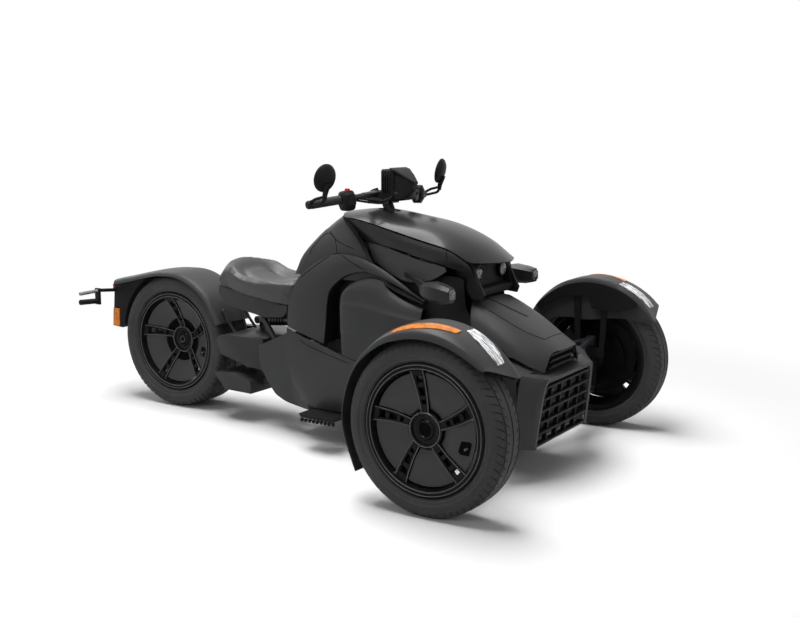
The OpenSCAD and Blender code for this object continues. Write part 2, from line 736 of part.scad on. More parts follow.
module swingarm() {
    color("#2b2c2e")
        difference() {
            union() {
                slab([
                    [rear_x + rear_r + 16, 345], [rear_x + rear_r + 40, 285], [-330, 250], [-240, 240],
                    [-240, 372], [-440, 372], [-478, 366]
                ], -150, 150);
                both_sides()
                    difference() {
                        bar_y([pivot_x, 60, pivot_z], pivot_r + 18, 50);
                        bar_y([pivot_x, 60, pivot_z], pivot_r + fit, 60);
                    }
                slab([
                    [-242, 350], [pivot_x - pivot_r - 8, 330], [pivot_x - pivot_r - 8, 270], [-242, 255]
                ], -85, 85);
                slab([
                    [-480, 362], [-440, 300], [-470, 240], [rear_x, rear_r - 55], [rear_x, rear_r + 55]
                ], arm_y[0], arm_y[1]);
                bar_y([rear_x, (arm_y[0] + arm_y[1]) / 2, rear_r], 72, arm_y[1] - arm_y[0]);
                rod([rear_x, -30, rear_r], [rear_x, arm_y[0] + 1, rear_r], spindle_r);
                both_sides() stay(rear_fender_grid, 1, 4, [-455, 70, 360], -stay_tip - stay_tip - 2 * seat_gap);
                pipe([
                    [rear_x, arm_y[1] - 14, rear_r], bracket_pad + [30, 28, -14], bracket_pad
                ], 9);
                bar_y(bracket_pad, 13, 20);
                slab([
                    [rear_shock_back[0] - 15, 366], [rear_shock_back[0] + 15, 366],
                    [rear_shock_back[0] + 12, rear_shock_back[2] + 12], [rear_shock_back[0] - 12, rear_shock_back[2] + 12]
                ], rear_shock_back[1] + shock_eye_w / 2 + 1, rear_shock_back[1] + shock_eye_w / 2 + 9);
                rod(rear_shock_back + [0, 20, 0], rear_shock_back - [0, 20, 0], shock_pin_r);
            }
            bar_y([rear_x, 50, rear_r], axle_bore_r, 400);
        }
}

module coil_over(a, b, r) {
    d = b - a;
    h = norm(d);
    turns = 8;
    translate(a)
        rotate([0, acos(d[2] / h), atan2(d[1], d[0])]) {
            cylinder(r = r * 0.55, h = h);
            cylinder(r = r, h = 12);
            translate([0, 0, h - 40]) cylinder(r = r, h = 14);
            for (k = [1:turns])
                translate([0, 0, 12 + (h - 52) * (k - 0.5) / turns])
                    rotate_extrude() translate([r - 6, 0]) circle(r = 5, $fn = 24);
            for (k = [0:turns - 1])
                translate([0, 0, 12 + (h - 52) * k / turns]) cylinder(r = r - 7, h = (h - 52) / turns);
        }
}

module rear_shock() {
    along = unit(rear_shock_front - rear_shock_back) * (shock_eye_r + 7);
    color("#26272a")
        difference() {
            union() {
                coil_over(rear_shock_back + along, rear_shock_front - along, 26);
                rod(rear_shock_back, rear_shock_front, 10);
                for (at = [rear_shock_back, rear_shock_front]) bar_y(at, shock_eye_r, shock_eye_w);
            }
            for (at = [rear_shock_back, rear_shock_front]) bar_y(at, shock_pin_r + fit, 60);
        }
}

module exhaust() {
    color("#333436") {
        slab([[-296, 136], [-440, 139], [-500, 205], [-384, 216], [-300, 190]], -165, 70);
        rod([-310, -60, 176], [90 - seat_gap, -60, 176], 20);
    }
}

module foot_pegs() {
    color("#1a1b1c") both_sides() {
        slab([[100, 150], [270, 146], [262, 134], [112, 136]], 262, 350);
        rod([180, rail_y + rail_r + seat_gap, rail_z - 2], [180, 300, 142], 8);
    }
}

// Front suspension
arm_eye_r = 16;
ball_eye_r = 20;
ball_eye_h = 30;
king_stud_r = 9;

// Places in the plane of an arm: its inner pivots and where its web starts
arm_leg_x = arm_spread - 8;
web_depth = 190;
web_t = 12;

module front_arm(z, web) {
    difference() {
        union() {
            for (s = [-1, 1]) {
                bar_x([front_x + s * arm_leg_x, arm_pivot_y, z], arm_eye_r, 24);
                rod([front_x + s * arm_leg_x, arm_pivot_y + arm_pin_r, z], [front_x + s * 6, king_y - 12, z], arm_r);
            }
            bar_z_at([front_x, king_y, z], ball_eye_r, ball_eye_h);
            translate([0, 0, z - web_t / 2])
                linear_extrude(web_t)
                    polygon([
                        [front_x - web * 0.2, king_y - web], [front_x + web * 0.2, king_y - web],
                        [front_x + 8, king_y - 12], [front_x - 8, king_y - 12]
                    ]);
        }
        for (s = [-1, 1])
            bar_x([front_x + s * arm_leg_x, arm_pivot_y, z], arm_pin_r + fit, 40);
        bar_z_at([front_x, king_y, z], king_stud_r + fit, 60);
    }
}

module front_arms() {
    color("#1d1e20") both_sides() {
        front_arm(lower_arm_z, web_depth);
        front_arm(upper_arm_z, web_depth / 2);
    }
}

module front_shocks() {
    seat_z = lower_arm_z + web_t / 2 + seat_gap;
    foot = shock_foot + [0, 0, 8];
    color("#26272a") both_sides()
        difference() {
            union() {
                coil_over(foot + unit(shock_top - foot) * 24, shock_top, 28);
                rod(foot, shock_top, 10);
                bar_x(shock_top, 19, 30);
                translate([front_x - 10, shock_foot[1] - 14, seat_z]) cube([20, 28, shock_foot[2] + 14 - seat_z]);
            }
            bar_x(shock_top, shock_pin_r + fit, 60);
        }
}

// Steering
bar_end = [197, 390, 960] + body_shift;
bar_bend = [286, 185, 984] + body_shift;
bar_inner = [bar_centre[0], 60, bar_z];
grip_dir = unit(bar_end - bar_bend);
switch_at = bar_bend + grip_dir * 70;
grip_from = bar_bend + grip_dir * 104;
mirror_foot = [268, 404, 984] + body_shift;
mirror_eye = [280, 406, 1057] + body_shift;

module handlebar() {
    color("#1a1b1d") {
        both_sides() {
            pipe([[bar_inner[0], 0, bar_z], bar_inner, bar_bend, bar_end], bar_r);
            translate(bar_inner - [0, 22, 26]) rotate([0, -column_lean, 0]) cylinder(r = 17, h = 44);
        }
        rod(head_point - column_dir * 60, bar_centre - column_dir * 4, stem_r);
        translate(bar_centre - [34, 60, 40]) cube([68, 120, 24]);
    }
}

module grips() {
    color("#101011") both_sides()
        difference() {
            rod(grip_from, bar_end - grip_dir * 2, grip_r);
            rod(bar_bend, bar_end + grip_dir * 10, bar_r + fit);
        }
}

module switch_pods() {
    color("#18191a") both_sides()
        difference() {
            hull() {
                translate(switch_at + [0, 0, 12]) rotate([90, 0, 20]) cylinder(r = 22, h = 52, center = true, $fn = 32);
                translate(switch_at + [-4, 0, -14]) rotate([90, 0, 20]) cylinder(r = 20, h = 44, center = true, $fn = 32);
            }
            rod(bar_bend - grip_dir * 40, bar_end, bar_r + fit);
        }
}

display_y = 46;
module display() {
    x = body_shift[0];
    color("#1d1e20") {
        slab([
            [x + 262, 1068], [x + 282, 1080], [x + 372, 1082], [x + 404, 1030], [x + 352, bar_z + 32],
            [x + 280, bar_z + 12 + fit], [x + 250, bar_z + 22]
        ], -display_y, display_y);
    }
}

module mirrors() {
    color("#161718") both_sides() {
        difference() {
            union() {
                bar = bar_end + grip_dir * (seat_gap + 14);
                rod(bar - grip_dir * 14, bar + grip_dir * 8, 15);
                rod(bar, mirror_foot + [0, 0, -4], 7);
                rod(mirror_foot + [0, 0, -8], mirror_eye - [4, 0, 36], 7);
                translate(mirror_eye) rotate([10, -78, 0]) scale(1) cylinder(r1 = 44, r2 = 50, h = 12);
            }
            translate(mirror_eye) rotate([10, -78, 0]) translate([0, 0, 9]) cylinder(r = 46, h = 10);
        }
    }
}

module mirror_glass() {
    color("#c9ced4") both_sides()
        translate(mirror_eye) rotate([10, -78, 0]) translate([0, 0, 9 + fit]) cylinder(r = 46 - fit, h = 2);
}

link_drop = 10;
link_z = front_r - link_drop;
link_eye_h = 14;
link_pin_r = 7;

module steering_link() {
    at = [front_x - steering_arm, king_y, link_z];
    color("#2c2d30")
        difference() {
            union() {
                rod([at[0], -at[1], at[2]], at, 6);
                both_sides() bar_z_at(at, 16, link_eye_h);
            }
            both_sides() bar_z_at(at, link_pin_r + fit, 40);
        }
}

// Knuckle in the wheel's own coordinates, +Y outboard, king pin at -king_pin_offset
disc_y = [-33, -27];
disc_r = 128;

module knuckle(name) {
    low = lower_arm_z - front_r;
    high = upper_arm_z - front_r;
    clear = ball_eye_h / 2 + 1;
    kp = -king_pin_offset;
    color("#303134")
        at_wheel(name) {
            translate([-22, kp - 16, low + clear]) cube([44, 32, high - low - 2 * clear]);
            bar_z_at([0, kp, (low + high) / 2], king_stud_r, high - low + ball_eye_h);
            rod([0, kp, 0], [0, 34, 0], spindle_r);
            bar_y([0, kp + 22, 0], 44, 24);
            slab([
                [-18, -8], [-18, -36], [-steering_arm - 14, -34], [-steering_arm - 14, -link_drop - link_eye_h / 2 - 3]
            ], kp - 12, kp + 12);
            bar_z_at([-steering_arm, kp, -link_drop - 6], link_pin_r, link_eye_h + 16);
            // Brake caliper over the disc's rear edge
            difference() {
                rotate([0, 28, 0])
                    slab([[-158, -42], [-158, 42], [-96, 36], [-96, -36]], kp + 12, -12);
                turned_about_y([[disc_y[0] - 5, 0], [disc_y[1] + 5, 0], [disc_y[1] + 5, disc_r + 6], [disc_y[0] - 5, disc_r + 6]]);
            }
            rotate([0, 28, 0]) slab([[-110, -20], [-110, 20], [-10, 20], [-10, -20]], kp + 11, kp + 23);
            // Fender stay
            stay_y = fender_grid[9][11][1] - seat_gap;
            translate([-62, stay_y - 8, high - clear - 50]) cube([124, 8, 36]);
            for (s = [-1, 1])
                slab([
                    [s * 42, high - clear - 40], [s * 62, high - clear - 40], [s * 78, front_r + 12], [s * 48, front_r + 12]
                ], stay_y - 8, stay_y);
        }
}

// Fender in the wheel's own coordinates
fender_skirt_y = -front_tyre_w / 2 - 13;
function fender_rib(a, crown, inner_drop, out_y, lip) =
    let (dir = [cos(a), 0, sin(a)], r = front_r + fender_room)
    [
        dir * (r - lip) + [0, out_y + 4, 0],
        dir * (r - 4) + [0, out_y, 0],
        dir * (r + crown * 0.7) + [0, out_y - 34, 0],
        dir * (r + crown) + [0, -10, 0],
        dir * (r + crown * 0.8) + [0, fender_skirt_y + 30, 0],
        dir * (r - 2) + [0, fender_skirt_y, 0],
        dir * (r - inner_drop) + [0, fender_skirt_y, 0]
    ];
half_w = front_tyre_w / 2;
fender_net = [
    fender_rib(fender_front_angle, -4, 26, half_w + 2, 14),
    fender_rib(mix(fender_front_angle, 90, 0.3), 6, 96, half_w + 8, 22),
    fender_rib(mix(fender_front_angle, 90, 0.65), 13, 142, half_w + 10, 26),
    fender_rib(90, 17, 160, half_w + 10, 27),
    fender_rib(108, 15, 154, half_w + 8, 26),
    fender_rib(126, 8, 120, half_w - 4, 20),
    fender_rib(150, 2, 60, half_w - 10, 12),
    fender_rib(182, -4, 8, half_w - 14, 10),
    fender_rib(fender_rear_angle, -4, 8, half_w - 16, 10)
];
fender_grid = skin(fender_net, 3, 2);

module fender(name) {
    color("#343537") at_wheel(name) panel(fender_grid);
}

// A strip that lies on the fender, from row i0 to i1 and column j0 to j1
module on_fender(i0, i1, j0, j1, t) {
    lifted = shifted(fender_grid, seat_gap);
    part = [for (i = [i0:i1]) [for (j = [j0:j1]) lifted[i][j]]];
    top = shifted(fender_grid, seat_gap + t);
    between([for (i = [i0:i1]) [for (j = [j0:j1]) top[i][j]]], part);
}

module fender_marker(name) {
    color("#e07a16") at_wheel(name) on_fender(7, 13, 3, 4, 4);
}

module fender_lamp(name) {
    color("#e8ecf0") at_wheel(name) on_fender(2, 5, 4, 9, 5);
}

// Wheels, +Y outboard
function tyre_profile(r, w, rim_w) =
    let (
        h = rim_w / 2 - fit,
        in_r = bead_r + fit,
        wall = r - flange_r,
        shoulder = [0.375 * wall, 0.173 * wall, 0.065 * wall],
        groove = 0.101 * wall,
        tread = [0.26 * wall, 0.231 * wall],
        half = [
            [h - 14, in_r], [h, in_r], [h, flange_r + 1], [w / 2 - 5, mix(flange_r, r, 0.2)],
            [w / 2, mix(flange_r, r, 0.45)],
            [w / 2 - 2, r - shoulder[0]], [w / 2 - 9, r - shoulder[1]], [w / 2 - 22, r - shoulder[2]]
        ],
        grooves = [for (y = [0.3, 0]) each [
            [w * y + 4, r - 5 * y], [w * y + 3, r - groove], [w * y - 3, r - groove], [w * y - 4, r - 5 * y]
        ]],
        inside = [
            [h - 14, in_r + 12], [w / 2 - 14, mix(flange_r, r, 0.4)], [w / 2 - 24, r - tread[0]], [0, r - tread[1]]
        ],
        right = concat(half, [for (p = grooves) if (p[0] > 0) p], [[3, r - groove]])
    )
    concat(
        [for (p = right) p],
        [for (k = [len(right) - 1:-1:0]) [-right[k][0], right[k][1]]],
        [for (p = inside) [-p[0], p[1]]],
        [for (k = [len(inside) - 2:-1:0]) inside[k]]
    );

module tyre(name, r, w, rim_w) {
    color("#1e1e1f") at_wheel(name) turned_about_y(tyre_profile(r, w, rim_w));
}

spokes = 5;
hub_r = 62;
spoke_end = bead_r - 4;
spoke_sweep = 7;
first_spoke = 92;
function spoke_point(r, off, a) = [r * cos(a) - off * sin(a), r * sin(a) + off * cos(a)];
function spoke_half(r) = mix(15, 25, (r - hub_r) / (spoke_end - hub_r));
function spoke_angle(r) = spoke_sweep * (r - hub_r) / (spoke_end - hub_r);
function spoke_edge(side, extra, r0, r1) = [
    for (k = [0:6])
        let (r = mix(r0, r1, k / 6))
        spoke_point(r, side * (spoke_half(r) + extra), spoke_angle(r))
];
function reversed(l) = [for (k = [len(l) - 1:-1:0]) l[k]];
function spoke_outline(extra, r0, r1) =
    concat(spoke_edge(-1, extra, r0, r1), reversed(spoke_edge(1, extra, r0, r1)));
function turn2(p, a) = [p[0] * cos(a) - p[1] * sin(a), p[0] * sin(a) + p[1] * cos(a)];
insert_gap = fit + 0.2;
insert_steps = 8;
// Points on the circle at r between one spoke's edge and the next
function insert_arc(r) =
    let (
        off = spoke_half(r) + insert_gap,
        start = spoke_angle(r) + atan2(off, r),
        end = 360 / spokes + 2 * spoke_angle(r) - start
    )
    [for (k = [1:insert_steps - 1])
        let (a = mix(start, end, k / insert_steps))
        norm([r, off]) * [cos(a), sin(a)]];
function insert_outline(r0, r1) =
    concat(
        spoke_edge(1, insert_gap, r0, r1),
        insert_arc(r1),
        reversed([for (p = spoke_edge(-1, insert_gap, r0, r1)) turn2(p, 360 / spokes)]),
        reversed(insert_arc(r0))
    );

// A disc of changing depth that trims what is cut through the wheel
module dish(rim_w, recess, depth, lift = 0) {
    h = rim_w / 2;
    turned_about_y([
        [h - recess - depth, 10], [h - recess + lift, 10], [h - recess + lift, hub_r + 8],
        [h - 5 + lift, spoke_end], [h - 24, spoke_end], [h - recess - depth, hub_r + 30]
    ]);
}

module rim(name, rim_w, recess, disc_side) {
    h = rim_w / 2;
    b = bead_r;
    color("#18191b")
        at_wheel(name)
            difference() {
                union() {
                    turned_about_y([
                        [h + 7, flange_r - 4], [h + 4, flange_r], [h, flange_r], [h, b], [h - 26, b - 1.5],
                        [h - 38, b - 15], [38 - h, b - 15], [26 - h, b - 1.5], [-h, b], [-h, flange_r],
                        [-h - 4, flange_r], [-h - 7, flange_r - 4], [-h - 7, b - 5], [20 - h, b - 12],
                        [34 - h, b - 22], [h - 34, b - 22], [h - 14, b - 12], [h + 7, b - 6]
                    ]);
                    intersection() {
                        dish(rim_w, recess, 26);
                        rotate([90, 0, 0])
                            linear_extrude(400, center = true)
                                for (k = [0:spokes - 1])
                                    rotate(first_spoke + k * 360 / spokes)
                                        difference() {
                                            polygon(spoke_outline(0, hub_r - 14, spoke_end));
                                            polygon(spoke_outline(-9, hub_r + 22, spoke_end - 22));
                                        }
                    }
                    turned_about_y([
                        [disc_side[0] - 12, spindle_r + 6], [h - recess, spindle_r + 6], [h - recess, hub_r],
                        [h - recess - 26, hub_r], [disc_side[1], 44], [disc_side[1], disc_r], [disc_side[0], disc_r],
                        [disc_side[0], 44], [disc_side[0] - 12, 44]
                    ]);
                    turned_about_y([
                        [disc_side[0] - 12, spindle_r + fit], [h - recess - 22, spindle_r + fit],
                        [h - recess - 22, spindle_r + 8], [disc_side[0] - 12, spindle_r + 8]
                    ]);
                }
            }
}

module inserts(name, rim_w, recess) {
    color("#3d3e41")
        at_wheel(name)
            intersection() {
                dish(rim_w, recess, 26, -3);
                difference() {
                    rotate([90, 0, 0])
                        linear_extrude(400, center = true)
                            for (k = [0:spokes - 1])
                                rotate(first_spoke + k * 360 / spokes)
                                    polygon(insert_outline(hub_r + 4, bead_r - 16));
                    turned_about_y([
                        [-200, 0], [rim_w / 2 - recess - 8, 0], [rim_w / 2 - recess - 8, hub_r + 8],
                        [rim_w / 2 - 13, spoke_end], [-200, spoke_end]
                    ]);
                }
            }
}

front_recess = 12;
rear_recess = 60;
rear_disc = [-rear_rim_w / 2 + 6, -rear_rim_w / 2 + 12];

frame();
subframe();
engine();
engine_covers();
belly_pan();
hood();
hood_sides();
side_panels();
inner_panels();
flanks();
tank_cover();
arch_panels();
sills();
rear_covers();
headlamp_housing();
lamp_lenses();
lamp_pods();
nose_cowl();
fascia();
grille();
radiator();
seat();
seat_base();
rear_fender();
tail_lamp();
tail_bracket();
rear_indicators();
rear_reflectors();
swingarm();
rear_shock();
exhaust();
foot_pegs();
front_arms();
front_shocks();
handlebar();
grips();
switch_pods();
display();
mirrors();
mirror_glass();
steering_link();
knuckle("right");  // knuckle_right
fender("right");  // fender_right
fender_marker("right");  // fender_marker_right
fender_lamp("right");  // fender_lamp_right
knuckle("left");  // knuckle_left
fender("left");  // fender_left
fender_marker("left");  // fender_marker_left
fender_lamp("left");  // fender_lamp_left
tyre("right", front_r, front_tyre_w, front_rim_w);  // tyre_right
rim("right", front_rim_w, front_recess, disc_y);  // rim_right
inserts("right", front_rim_w, front_recess);  // inserts_right
tyre("left", front_r, front_tyre_w, front_rim_w);  // tyre_left
rim("left", front_rim_w, front_recess, disc_y);  // rim_left
inserts("left", front_rim_w, front_recess);  // inserts_left
tyre("rear", rear_r, rear_tyre_w, rear_rim_w);  // tyre_rear
rim("rear", rear_rim_w, rear_recess, rear_disc);  // rim_rear
inserts("rear", rear_rim_w, rear_recess);  // inserts_rear
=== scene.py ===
# %% [markdown]
# A three-wheeled motorcycle, dressed for a studio picture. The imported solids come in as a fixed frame,
# in metres, with the ground at Z = 0, the nose towards +X and the rider's left towards +Y. Everything
# below either finishes a solid with a material or replaces it with a finer mesh in the same place.

# %% Load the frame
import json
import math

import bmesh
import bpy
import numpy as np
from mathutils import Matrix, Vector
from mathutils.bvhtree import BVHTree


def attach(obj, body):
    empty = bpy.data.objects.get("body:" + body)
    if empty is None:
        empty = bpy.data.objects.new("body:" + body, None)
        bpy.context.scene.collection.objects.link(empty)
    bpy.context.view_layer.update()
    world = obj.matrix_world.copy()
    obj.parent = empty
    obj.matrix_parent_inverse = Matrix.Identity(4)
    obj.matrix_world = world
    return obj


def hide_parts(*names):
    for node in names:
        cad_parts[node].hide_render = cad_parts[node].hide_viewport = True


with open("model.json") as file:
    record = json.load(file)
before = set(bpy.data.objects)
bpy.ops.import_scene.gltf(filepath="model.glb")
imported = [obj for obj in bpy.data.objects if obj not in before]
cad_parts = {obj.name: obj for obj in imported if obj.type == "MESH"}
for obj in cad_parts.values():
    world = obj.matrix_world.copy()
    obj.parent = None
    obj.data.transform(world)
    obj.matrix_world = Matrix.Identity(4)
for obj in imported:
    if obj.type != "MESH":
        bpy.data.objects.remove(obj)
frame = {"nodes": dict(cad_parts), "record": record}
scene = bpy.context.scene
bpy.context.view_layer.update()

# %% [markdown]
# The camera stands ahead of the right front wheel, a little above the fenders. Its place was worked out
# once from the three wheel rims, so every piece that follows lands where it should in the picture.

# %% Camera
camera_data = bpy.data.cameras.new("camera")
camera_data.sensor_width = 36.0
camera_data.lens = 50.12
camera = bpy.data.objects.new("camera", camera_data)
camera.location = (2.6949, -3.6472, 1.2425)
camera.rotation_euler = (math.radians(80.691), 0.0, math.radians(32.848))
scene.collection.objects.link(camera)
scene.camera = camera
print("camera at", tuple(camera.location))

# %% [markdown]
# Satin black only reads as a shape when something bright slides along it. Large soft panels hang above
# and to the sides, as in a car studio, and the white world fills the rest at a plain level.

# %% Studio light
def softbox(name, place, target, size, power):
    lamp = bpy.data.lights.new(name, "AREA")
    lamp.shape = "RECTANGLE"
    lamp.size, lamp.size_y = size
    lamp.energy = power
    lamp_object = bpy.data.objects.new(name, lamp)
    lamp_object.location = place
    aim = Vector(target) - Vector(place)
    lamp_object.rotation_euler = aim.to_track_quat("-Z", "Y").to_euler()
    scene.collection.objects.link(lamp_object)


middle = (0.1, 0.0, 0.5)
softbox("overhead_panel", (-0.2, -0.2, 4.2), middle, (4.0, 2.2), 290.0)
softbox("right_panel", (0.2, -5.0, 2.6), middle, (4.5, 1.6), 45.0)
softbox("front_panel", (5.2, -0.6, 2.4), middle, (2.2, 1.8), 22.0)
softbox("rear_panel", (-4.5, 1.0, 2.8), middle, (3.0, 2.0), 40.0)
scene.view_settings.view_transform = "Standard"

# %% [markdown]
# Shader maths reads best as plain expressions. A small class wraps a socket, so that `tone - 0.5` or
# `grain * 0.2` adds its Math node, and one method makes every other node.

# %% Shader tools
class Value:
    def __init__(self, finish, socket):
        self.finish = finish
        self.socket = socket

    def _math(self, operation, first, second):
        return self.finish.node("ShaderNodeMath", {"operation": operation}, {0: first, 1: second})

    def __add__(self, other):
        return self._math("ADD", self, other)

    def __sub__(self, other):
        return self._math("SUBTRACT", self, other)

    def __mul__(self, other):
        return self._math("MULTIPLY", self, other)

    def most(self, other):
        return self._math("MAXIMUM", self, other)

    def ramp(self, low, high):
        settings = {"interpolation_type": "SMOOTHSTEP"}
        links = {"Value": self, "From Min": low, "From Max": high}
        return self.finish.node("ShaderNodeMapRange", settings, links)

    def colours(self, low, high):
        settings = {"data_type": "RGBA"}
        return self.finish.node("ShaderNodeMix", settings, {0: self, 6: (*low, 1.0), 7: (*high, 1.0)}, 2)


class NodeSheet:
    def __init__(self, tree):
        self.tree = tree

    def node(self, kind, settings=None, links=None, output=0):
        made = self.tree.nodes.new(kind)
        for key, value in (settings or {}).items():
            setattr(made, key, value)
        for key, value in (links or {}).items():
            self.link(made.inputs[key], value)
        return Value(self, made.outputs[output])

    def link(self, socket, value):
        if isinstance(value, Value):
            self.tree.links.new(value.socket, socket)
        else:
            socket.default_value = value


class ShaderTree(NodeSheet):
    def __init__(self, tree):
        super().__init__(tree)
        self.coords = self.node("ShaderNodeTexCoord", output="Object")

    def backdrop_rays(self):
        kinds = ("Is Camera Ray", "Is Glossy Ray", "Is Transmission Ray")
        camera_ray, glossy_ray, clear_ray = (self.node("ShaderNodeLightPath", output=kind) for kind in kinds)
        return camera_ray.most(glossy_ray).most(clear_ray)


class Finish(ShaderTree):
    def __init__(self, name):
        self.material = bpy.data.materials.new(name)
        self.material.use_nodes = True
        super().__init__(self.material.node_tree)
        self.surface = self.tree.nodes["Principled BSDF"]

    def set(self, **values):
        for key, value in values.items():
            self.link(self.surface.inputs[key.replace("_", " ")], value)
        return self

    def noise(self, scale, detail=3.0, roughness=0.5):
        links = {"Vector": self.coords, "Scale": scale, "Detail": detail, "Roughness": roughness}
        return self.node("ShaderNodeTexNoise", None, links)

    def cells(self, scale):
        return self.node("ShaderNodeTexVoronoi", None, {"Vector": self.coords, "Scale": scale})

    def bump(self, height, distance, strength=1.0):
        links = {"Height": height, "Distance": distance, "Strength": strength}
        self.set(Normal=self.node("ShaderNodeBump", None, links))
        return self


print("shader tools ready")

# %% [markdown]
# The finishes. Moulded panels are charcoal with a fine leather-like grain; trim is blacker and coarser;
# the wheels and lamp pods are gloss black under a clear coat; rubber is dull, with dust in its pores.

# %% Finishes
def moulded(name, low, high, roughness, grain, depth, shine=0.16):
    finish = Finish(name)
    finish.set(Specular_IOR_Level=shine)
    cloud = finish.noise(2.3, 4.0, 0.6)
    pores = finish.cells(grain)
    tone = (cloud * 0.75 + finish.noise(grain * 0.5, 2.0) * 0.25).ramp(0.25, 0.75)
    finish.set(Base_Color=tone.colours(low, high))
    finish.set(Roughness=(finish.noise(5.0, 3.0) - 0.5) * 0.12 + roughness)
    return finish.bump(pores, depth, 0.35).material


def coated(name, low, high, roughness, coat, shine=0.2):
    finish = Finish(name)
    tone = finish.noise(3.0, 4.0, 0.6).ramp(0.3, 0.7)
    finish.set(Base_Color=tone.colours(low, high), Coat_Weight=coat, Coat_Roughness=0.06)
    finish.set(Specular_IOR_Level=shine)
    finish.set(Roughness=(finish.noise(9.0, 3.0) - 0.5) * 0.1 + roughness)
    return finish.bump(finish.noise(900.0, 2.0), 0.0001, 0.25).material


def cast_alloy(name, low, high, roughness, metallic):
    finish = Finish(name)
    tone = finish.noise(14.0, 5.0, 0.65).ramp(0.3, 0.7)
    finish.set(Base_Color=tone.colours(low, high), Metallic=metallic)
    finish.set(Roughness=(finish.noise(30.0, 3.0) - 0.5) * 0.2 + roughness)
    return finish.bump(finish.noise(420.0, 3.0), 0.0004, 0.4).material


def rubber(name, low, high):
    finish = Finish(name)
    dust = finish.noise(6.0, 5.0, 0.65).ramp(0.35, 0.75)
    finish.set(Base_Color=dust.colours(low, high), Specular_IOR_Level=0.35)
    finish.set(Roughness=(finish.noise(18.0, 3.0) - 0.5) * 0.15 + 0.72)
    return finish.bump(finish.noise(700.0, 3.0), 0.0003, 0.5).material


def vinyl(name, low, high):
    finish = Finish(name)
    wrinkles = finish.cells(420.0)
    tone = (finish.noise(5.0, 4.0, 0.6) * 0.8 + wrinkles * 0.3).ramp(0.3, 0.85)
    finish.set(Base_Color=tone.colours(low, high))
    finish.set(Roughness=(finish.noise(12.0, 3.0) - 0.5) * 0.14 + 0.5)
    return finish.bump(wrinkles, 0.0006, 0.45).material


def lens(name, low, high, roughness, clear):
    finish = Finish(name)
    # The cell pattern stands for the reflector cells behind the lens, and its lighter cells are painted
    # glints.
    tone = finish.cells(140.0).ramp(0.0, 0.7)
    finish.set(Base_Color=tone.colours(low, high), Roughness=roughness, Transmission_Weight=clear, IOR=1.49)
    return finish.bump(finish.cells(140.0), 0.0008, 0.5).material


def streaked_lens(name, low, high, stretch):
    finish = Finish(name)
    along = finish.node("ShaderNodeVectorMath", {"operation": "MULTIPLY"}, {0: finish.coords, 1: stretch})
    streaks = finish.node("ShaderNodeTexNoise", None, {"Vector": along, "Scale": 1.0, "Detail": 2.0})
    # Streaks of lighter and darker colour stand for a lamp's facets; where they run from near-black to
    # near-white they are painted reflection.
    finish.set(Base_Color=streaks.ramp(0.38, 0.6).colours(low, high), Roughness=0.1, Specular_IOR_Level=0.3)
    return finish.bump(streaks, 0.0015, 0.5).material


recipes = {
    "frame_paint": (coated, (0.008, 0.008, 0.009), (0.016, 0.016, 0.018), 0.42, 0.1),
    "engine_alloy": (cast_alloy, (0.02, 0.02, 0.021), (0.045, 0.045, 0.048), 0.55, 0.5),
    "panel_grey": (moulded, (0.026, 0.0263, 0.0272), (0.034, 0.0343, 0.0352), 0.44, 620.0, 0.0003),
    "panel_dark": (coated, (0.012, 0.012, 0.0127), (0.017, 0.017, 0.0178), 0.3, 0.06, 0.16),
    "trim_black": (moulded, (0.006, 0.006, 0.0065), (0.010, 0.010, 0.011), 0.5, 800.0, 0.0003, 0.09),
    # Near-black for holes, hollows and gaps, where only shade would be seen: painted shade.
    "void_black": (moulded, (0.0015, 0.0015, 0.0016), (0.003, 0.003, 0.0032), 0.6, 800.0, 0.0003, 0.02),
    "lens_clear": (lens, (0.55, 0.57, 0.59), (0.92, 0.94, 0.96), 0.08, 0.3),
    "led_glass": (lens, (0.02, 0.021, 0.022), (0.20, 0.205, 0.21), 0.05, 0.1),
    "faceted_glass": (streaked_lens, (0.16, 0.165, 0.17), (0.86, 0.87, 0.88), (28.0, 210.0, 28.0)),
    "smoked_glass": (lens, (0.10, 0.10, 0.10), (0.20, 0.20, 0.20), 0.15, 0.05),
    "lens_amber": (streaked_lens, (0.46, 0.125, 0.003), (0.60, 0.185, 0.006), (60.0, 60.0, 60.0)),
    "lens_red": (lens, (0.28, 0.006, 0.006), (0.45, 0.012, 0.012), 0.12, 0.15),
    "switch_red": (coated, (0.45, 0.012, 0.012), (0.55, 0.02, 0.018), 0.35, 0.1),
    "seat_vinyl": (vinyl, (0.015, 0.015, 0.0154), (0.024, 0.024, 0.0247)),
    "tyre": (rubber, (0.017, 0.017, 0.017), (0.027, 0.027, 0.0266)),
    "rim_black": (coated, (0.003, 0.003, 0.0032), (0.006, 0.006, 0.0065), 0.22, 0.03, 0.07),
    # Lighter grey for the hub circlet, the rim beads and the spoke lips: a painted highlight along the
    # wheel's edges.
    "rim_edge": (coated, (0.045, 0.0455, 0.047), (0.065, 0.0655, 0.067), 0.25, 0.1, 0.35),
    "insert_grey": (moulded, (0.030, 0.0303, 0.0312), (0.037, 0.0373, 0.0382), 0.4, 700.0, 0.0002),
    "steel_dark": (cast_alloy, (0.05, 0.05, 0.052), (0.11, 0.11, 0.115), 0.38, 0.9),
    "grip_rubber": (rubber, (0.007, 0.007, 0.007), (0.013, 0.013, 0.013)),
    "mirror": (cast_alloy, (0.62, 0.64, 0.66), (0.70, 0.72, 0.74), 0.05, 1.0),
}
paint = {name: make(name, *values) for name, (make, *values) in recipes.items()}
slot_of = {row["node"]: row["material_slot"] for row in frame["record"]["subparts"]}


def finish_mesh(mesh, slot):
    mesh.materials.clear()
    mesh.materials.append(paint[slot])


